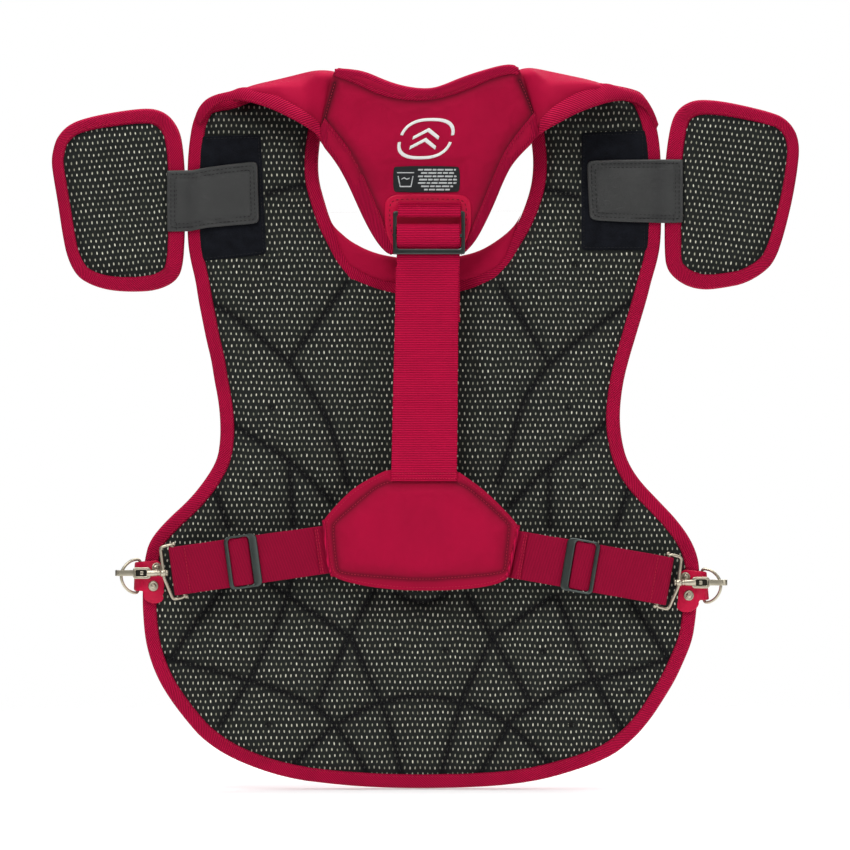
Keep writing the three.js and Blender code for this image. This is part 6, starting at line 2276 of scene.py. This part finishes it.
# ------------------------------------------------------------------ hooks, rings and tabs
# outline: (x, z) of the tab. fold_x: its outermost x, round the panel's edge.
RING_TABS = {
    "left": dict(
        outline=[
            (-231.68, 182.4), (-213.6, 184.16), (-208.4, 179.2), (-204.4, 170.4),
            (-203.6, 161.6), (-206.4, 154.4), (-212, 149.92), (-217.6, 149.36),
            (-222.88, 152), (-224.32, 155.2), (-224.32, 159.68), (-232.48, 159.68)],
        fold_x=-232.08, rivets=[(-216.8, 163.6), (-214, 178.08)]),
    "right": dict(
        outline=[
            (224.8, 174.72), (207.2, 176.8), (202, 172), (197.6, 163.2), (196.8, 154.4),
            (199.2, 147.2), (204.8, 142.88), (210.4, 142.4), (216, 145.12), (218.4, 148.32),
            (218.4, 152.32), (226.88, 152.32)],
        fold_x=225.84, rivets=[(210.56, 156), (207.76, 170.4)]),
}
JAW_Y = -8.5   # the hook's spine, from the D-ring's y
# Hook body seen from its edge: (distance from the crown, y from the D-ring's y).
HOOK_JAW = [
    (11, JAW_Y - 1.5), (-1.5, JAW_Y - 1.5), (-3.2, JAW_Y - 1.0), (-4.3, JAW_Y + 0.4),
    (-4.8, JAW_Y + 2.6), (-4.8, 3.6), (-4.3, 4.2), (-3.3, 4.2), (-3.3, JAW_Y + 2.9),
    (-2.4, JAW_Y + 1.9), (-1.2, JAW_Y + 1.5), (6.3, JAW_Y + 1.5), (6.3, 2.6), (9.0, 2.6),
    (9.0, JAW_Y + 1.5), (11, JAW_Y + 1.5),
]
# Upper half of the D-ring: (distance out from its straight side, height).
RING_BOW = [
    (0, 13.6), (3.2, 13.5), (6.2, 12.6), (9, 10.8), (11.4, 8.2), (13.1, 5.4), (14.0, 2.6),
    (14.2, 1.2),
]
# Turned profiles: (distance along the axis, radius).
EYE_PROFILE = [(-2.1, 1.5), (-2.1, 2.5), (-1.7, 2.9), (1.7, 2.9), (2.1, 2.5), (2.1, 1.5)]
RIVET_PROFILE = [
    (-0.3, 1.0), (-0.3, 4.0), (0.35, 4.2), (0.75, 3.9), (0.8, 3.2), (0.45, 2.6), (0.6, 2.2),
    (1.15, 1.7), (1.35, 1.0), (1.4, 0.2),
]


def hook_frame(side):
    """Wire frame from the side strap's bar to the eye of the snap hook."""
    k = SIDES[side]
    spec = SIDE_STRAPS[side]
    start, end = np.array(spec["start"], float), np.array(spec["end"])
    tilt = math.radians(spec["tilt"])
    lean = k * math.sin(tilt)
    bar = np.array([lean, lean * (end[1] - start[1]) / (end[0] - start[0]), math.cos(tilt)])
    out = np.array([k * math.cos(tilt), 0, -math.sin(tilt)])
    eye = np.array([spec["eye"][0], end[1], spec["eye"][1]])
    top, low = end + bar * 21.5, end - bar * 21.5
    half_eye = np.array([0, 0, 2.0])
    corners = [low, top, top + out * 9.6, eye + half_eye, eye - half_eye, low + out * 9.6]
    parts = [wire_ring(corners, 1.25, corner=2.24, soft=2)]
    parts += [ball(corner - out * 1.2, 1.75) for corner in (top, low)]
    parts.append(lathe(EYE_PROFILE, eye, (1, 0, 0)))
    attach(solid(f"hook_wire_frame_{side}", parts, NICKEL),
           f"hook_frame_{side}", "nickel", f"hook_frame_{side}")


def snap_hook(side):
    k = SIDES[side]
    spec = SIDE_STRAPS[side]
    crown = spec["crown_x"]
    eye_x, z = spec["eye"]
    y = spec["end"][1]
    head = abs(crown - eye_x)

    def on_hook(part):
        """From (distance from the crown, y, z), about the D-ring's y and the eye's z."""
        verts, faces = part
        return np.c_[crown - k * verts[:, 0], y + 8.5 + verts[:, 1], z + verts[:, 2]], faces

    def turned(profile):
        return lathe(profile, (crown, y, z), (-k, 0, 0))

    near, far = 20.5, head - 2.5   # ends of the stepped barrel
    # a rounded frame round the trigger slot
    outer = corner_loop(9.4, 23.6, -4.6, 4.6, 2.4)
    inner = corner_loop(11.6, 20.4, -2.5, 2.5, 1.1)
    verts, faces = ring_frame(outer, inner, JAW_Y - 1.5, JAW_Y + 1.5, bevel=0.3, crown=0.15)
    parts = [
        turned([(head + 2.4, 2.2), (head + 2.5, 2.4), (head + 3.4, 2.4), (head + 3.9, 1.7),
                (head + 3.95, 0.4)]),
        turned([(head - 4, 1.0), (head + 3, 1.0)]),
        turned([(near, 1.6), (near, 2.4), (near + 0.6, 2.7), (far - 2.2, 2.3),
                (far - 2.0, 1.9), (far - 1.4, 1.9), (far - 1.2, 2.4), (far - 0.3, 2.4),
                (far, 2.1), (far, 0.6)]),
        on_hook((verts[:, [0, 2, 1]], faces)),
        on_hook(rounded_prism(HOOK_JAW, half=2.3, r=0.4)),
    ]
    attach(solid(f"swivel_hook_{side}", parts, NICKEL, sharp=50),
           f"snap_hook_{side}", "nickel", f"snap_hook_{side}")
    # painted shade: a dark block fills the trigger slot, whose inside lies in shade
    slot = on_hook(rounded_box((11.0, JAW_Y - 0.3, -2.8), (21.0, JAW_Y + 1.1, 2.8), 0.2))
    attach(solid(f"hook_slot_shade_{side}", [slot], RECESS_SHADE_METAL), f"snap_hook_{side}", "nickel")
    trigger = on_hook(rounded_box((15.2, JAW_Y - 2.3, -1.5), (17.8, JAW_Y + 0.2, 1.5), 0.6))
    attach(solid(f"hook_trigger_{side}", [trigger], NICKEL), f"snap_hook_{side}", "nickel")
    gate = on_hook(rounded_box((-2.9, 2.95, -2.2), (9.0, 3.65, 2.2), 0.25))
    attach(solid(f"hook_gate_leaf_{side}", [gate], NICKEL, sharp=50),
           f"hook_gate_{side}", "nickel", f"hook_gate_{side}")


def d_ring(side):
    k = SIDES[side]
    spec = SIDE_STRAPS[side]
    depth = RING_BOW[-1][0]
    centre = np.array([spec["ring"][0], spec["end"][1] + 13.5, spec["ring"][1]])
    turn = -math.radians(4.6) * k
    points = []
    for u, w in RING_BOW + [(u, -w) for u, w in RING_BOW[::-1]]:
        x = k * u * math.cos(turn) + w * math.sin(turn)
        z = -k * u * math.sin(turn) + w * math.cos(turn)
        points.append(centre + np.array([x, -5 * u / depth, z]))
    wire = wire_ring(points, 1.2, corner=2.4, soft=8)
    attach(solid(f"ring_wire_{side}", [wire], NICKEL),
           f"d_ring_{side}", "nickel", f"d_ring_{side}")


def ring_tab(side):
    """Coated tab folded round the panel's edge, with two rivets."""
    k = SIDES[side]
    spec = RING_TABS[side]
    z_mid = SIDE_STRAPS[side]["ring"][1]
    fold_radius, skin, clearance = 9.0, 1.4, 3.1
    edge_x = spec["fold_x"] - k * fold_radius

    def bed(x, face):
        if face < 0:
            return inner_y(x, z_mid) - clearance
        return outer_y(x, z_mid) + clearance

    low, high = float(bed(edge_x, -1)), float(bed(edge_x, 1))
    middle, half = (low + high) / 2, (high - low) / 2

    def tab_y(x, face):
        """Height of the tab's wearer-side (-1) or outer (1) face."""
        past = (x - edge_x) * k
        u = np.clip(past / fold_radius, 0, 0.999)
        turned = middle + face * np.sqrt(1 - u * u) * (half + skin)
        return np.where(past > 0, turned, bed(x, face) + face * skin)

    rim = resample(chaikin(resample(spec["outline"], 2.0), 2), 0.9)
    filled = fill(rim, 1.5, rings=(0.25, 0.6, 1.1))
    x = filled.points[:, 0]
    shoulder = 0.45 * (1 - rounded(filled.depth, 0.8)) * smooth((edge_x - x) * k / 2 + 1)
    groove = 0.22 * bell(filled.depth - 1.9, 0.45) * ((x - edge_x) * k < -1)
    front, back = tab_y(x, -1), tab_y(x, 1)
    verts, faces = merge([two_faced(filled, front + shoulder + groove, front + 1.3),
                          two_faced(filled, back - 1.3, back - shoulder)])
    tab = make(f"ring_tab_leather_{side}", verts, faces, COATED_RED, cloth=verts[:, [0, 2]],
               recalc=False)
    attach(tab, "panel", "coated_fabric", f"ring_tab_{side}")

    for i, (rx, rz) in enumerate(spec["rivets"]):
        slope = (float(inner_y(rx + 4, rz)) - float(inner_y(rx - 4, rz))) / 8
        outward = np.array([slope, -1.0, 0.0])
        outward /= np.linalg.norm(outward)
        base = np.array([rx, float(tab_y(rx, -1)), rz])
        behind = np.array([rx, float(tab_y(rx, 1)), rz])
        shank = float(np.linalg.norm(behind - base))
        parts = [
            lathe(RIVET_PROFILE, base, outward, 28),
            lathe(RIVET_PROFILE, behind, -outward, 28),
            lathe([(0, 1.6), (shank, 1.6)], base, behind - base, 12),
        ]
        attach(solid(f"rivet_{side}_{i + 1}", parts, NICKEL),
               "panel", "nickel", f"ring_rivet_{side}_{i + 1}")


for side in SIDES:
    hook_frame(side)
    snap_hook(side)
    d_ring(side)
    ring_tab(side)

# ------------------------------------------------------------------ plate and emblem
EMBLEM_X, EMBLEM_Z = 0.8, 520.4
EMBLEM_SLANT = -0.32
# One chevron: (x, distance down), and how far down each of the two lies.
CHEVRON = [(-10.4, 4.0), (0, -2.72), (10.4, 4.0), (10.4, 6.88), (0, 0.48), (-10.4, 6.88)]
CHEVRON_DROPS = (-4.96, 2.88)


def sternum_plate():
    box = rounded_box((-PLATE_HALF, 15.0, PLATE_Z - PLATE_HALF),
                      (PLATE_HALF, 19.2, PLATE_Z + PLATE_HALF), 0.9)
    attach(solid("sternum_plate", [box], CHARCOAL), "panel", "crimson_fabric")


def emblem():
    """A slanted rounded ring with two chevrons in it."""
    def slanted(across, down, rise=0.0):
        return (EMBLEM_X + across + EMBLEM_SLANT * down, EMBLEM_Z - down + rise)

    def lozenge(half_x, half_z, count=72, power=2.6):
        out = []
        for i in range(count):
            a = TAU * i / count
            c, s = math.cos(a), math.sin(a)
            r = 1.0 / ((abs(c) ** power + abs(s) ** power) ** (1 / power))
            out.append(slanted(half_x * r * c, half_z * r * s))
        return out

    line = 2.4
    outer = lozenge(21.6, 16.4)
    inner = lozenge(21.6 - line, 16.4 - line)
    shapes = []
    # the ring in two halves, with a gap between them, so that each is a simple outline
    n = len(outer)
    half, gap = n // 2, 2
    for start in (0, half):
        steps = range(start + gap, start + half - gap + 1)
        shapes.append([outer[i % n] for i in steps] + [inner[i % n] for i in reversed(steps)])
    for drop in CHEVRON_DROPS:
        shapes.append([slanted(across, down + drop, rise=0.96) for across, down in CHEVRON])
    print_shapes("chest_mark", shapes, YOKE_FACE, PRINT_WHITE, thick=0.5, pitch=1.6)


sternum_plate()
emblem()


# ------------------------------------------------------------------ stage (metres)
def floor():
    """A disc that fades out, so that it shows only the object's soft shadow."""
    radius, rings, segments, z = 3.2, 40, 96, -0.0006
    verts = [(0, 0, z)]
    for i in range(1, rings + 1):
        r = radius * (i / rings) ** 1.5
        for j in range(segments):
            a = TAU * j / segments
            verts.append((r * math.cos(a), r * math.sin(a), z))
    faces = [(0, 1 + j, 1 + (j + 1) % segments) for j in range(segments)]
    for i in range(1, rings):
        a = 1 + (i - 1) * segments
        b = a + segments
        for j in range(segments):
            k = (j + 1) % segments
            faces.append((a + j, b + j, b + k, a + k))
    mesh = bpy.data.meshes.new("floor")
    mesh.from_pydata(verts, [], faces)
    obj = bpy.data.objects.new("floor", mesh)
    bpy.context.scene.collection.objects.link(obj)
    mesh.materials.append(floor_material(fade_start=0.35, fade_end=1.9))


def floor_material(fade_start, fade_end):
    mat = bpy.data.materials.new("floor")
    mat.use_nodes = True
    nodes, link = mat.node_tree.nodes, mat.node_tree.links.new
    nodes.clear()
    output = nodes.new("ShaderNodeOutputMaterial")
    coordinates = nodes.new("ShaderNodeTexCoord")
    distance = nodes.new("ShaderNodeVectorMath")
    distance.operation = "LENGTH"
    link(coordinates.outputs["Object"], distance.inputs[0])
    fade = nodes.new("ShaderNodeMapRange")
    fade.interpolation_type = "SMOOTHSTEP"
    link(distance.outputs["Value"], fade.inputs[0])
    fade.inputs[1].default_value = fade_start
    fade.inputs[2].default_value = fade_end
    diffuse = nodes.new("ShaderNodeBsdfDiffuse")
    diffuse.inputs[0].default_value = (0.9, 0.9, 0.9, 1)
    glow = nodes.new("ShaderNodeEmission")
    glow.inputs["Color"].default_value = (1, 1, 1, 1)
    glow.inputs["Strength"].default_value = 0.2
    both = nodes.new("ShaderNodeAddShader")
    link(diffuse.outputs[0], both.inputs[0])
    link(glow.outputs[0], both.inputs[1])
    clear = nodes.new("ShaderNodeBsdfTransparent")
    mix = nodes.new("ShaderNodeMixShader")
    link(fade.outputs[0], mix.inputs[0])
    link(both.outputs[0], mix.inputs[1])
    link(clear.outputs[0], mix.inputs[2])
    link(mix.outputs[0], output.inputs[0])
    return mat


def studio_world():
    """White to the camera; to everything else a soft vertical gradient."""
    world = bpy.data.worlds.new("studio")
    bpy.context.scene.world = world
    world.use_nodes = True
    nodes, link = world.node_tree.nodes, world.node_tree.links.new
    nodes.clear()
    output = nodes.new("ShaderNodeOutputWorld")
    seen = nodes.new("ShaderNodeBackground")
    seen.inputs["Color"].default_value = (1, 1, 1, 1)
    seen.inputs["Strength"].default_value = 1.0
    soft = nodes.new("ShaderNodeBackground")
    coordinates = nodes.new("ShaderNodeTexCoord")
    axes = nodes.new("ShaderNodeSeparateXYZ")
    link(coordinates.outputs["Generated"], axes.inputs[0])
    gradient = nodes.new("ShaderNodeValToRGB")
    link(axes.outputs[2], gradient.inputs[0])
    stops = gradient.color_ramp.elements
    stops[0].position = 0.0
    stops[0].color = (0.16, 0.16, 0.165, 1)
    stops[1].position = 1.0
    stops[1].color = (0.95, 0.95, 0.96, 1)
    stops.new(0.35).color = (0.42, 0.42, 0.43, 1)
    link(gradient.outputs[0], soft.inputs["Color"])
    soft.inputs["Strength"].default_value = 0.5
    path = nodes.new("ShaderNodeLightPath")
    mix = nodes.new("ShaderNodeMixShader")
    link(path.outputs["Is Camera Ray"], mix.inputs[0])
    link(soft.outputs[0], mix.inputs[1])
    link(seen.outputs[0], mix.inputs[2])
    link(mix.outputs[0], output.inputs[0])


def area_light(name, location, size, power, target=(0, 0, 0.29)):
    data = bpy.data.lights.new(name, "AREA")
    data.shape = "RECTANGLE"
    data.size, data.size_y = size
    data.energy = power
    data.color = (1, 1, 1)
    obj = bpy.data.objects.new(name, data)
    obj.location = location
    obj.rotation_mode = "QUATERNION"
    aim = Vector(target) - Vector(location)
    obj.rotation_quaternion = aim.to_track_quat("-Z", "Y")
    bpy.context.scene.collection.objects.link(obj)


def camera():
    """Long lens straight at the wearer's side."""
    distance, view_width, sensor = 6.0, 0.68, 36.0
    data = bpy.data.cameras.new("camera")
    data.sensor_width = sensor
    data.lens = sensor * distance / view_width
    data.clip_start, data.clip_end = 0.1, 60
    obj = bpy.data.objects.new("camera", data)
    x, _, z = place([0, 0, 292])
    obj.location = (float(x), -distance - 0.005, float(z))
    obj.rotation_euler = (math.pi / 2, 0, 0)
    bpy.context.scene.collection.objects.link(obj)
    bpy.context.scene.camera = obj


def render_settings():
    scene = bpy.context.scene
    scene.view_settings.view_transform = "Standard"
    scene.view_settings.look = "None"
    scene.view_settings.exposure = 0.0
    scene.view_settings.gamma = 1.0
    scene.cycles.use_denoising = True
    scene.cycles.max_bounces = 6
    scene.cycles.diffuse_bounces = 3
    scene.cycles.glossy_bounces = 4


floor()
studio_world()
area_light("key", location=(-0.85, -1.6, 2.0), size=(1.1, 1.1), power=34, target=(0, 0, 0.42))
area_light("fill", location=(1.6, -1.7, 0.7), size=(1.3, 1.5), power=9.5)
area_light("top", location=(0.15, 0.15, 1.9), size=(1.4, 0.9), power=24)
area_light("back", location=(0.9, 2.1, 1.4), size=(1.5, 1.3), power=26)
camera()
render_settings()
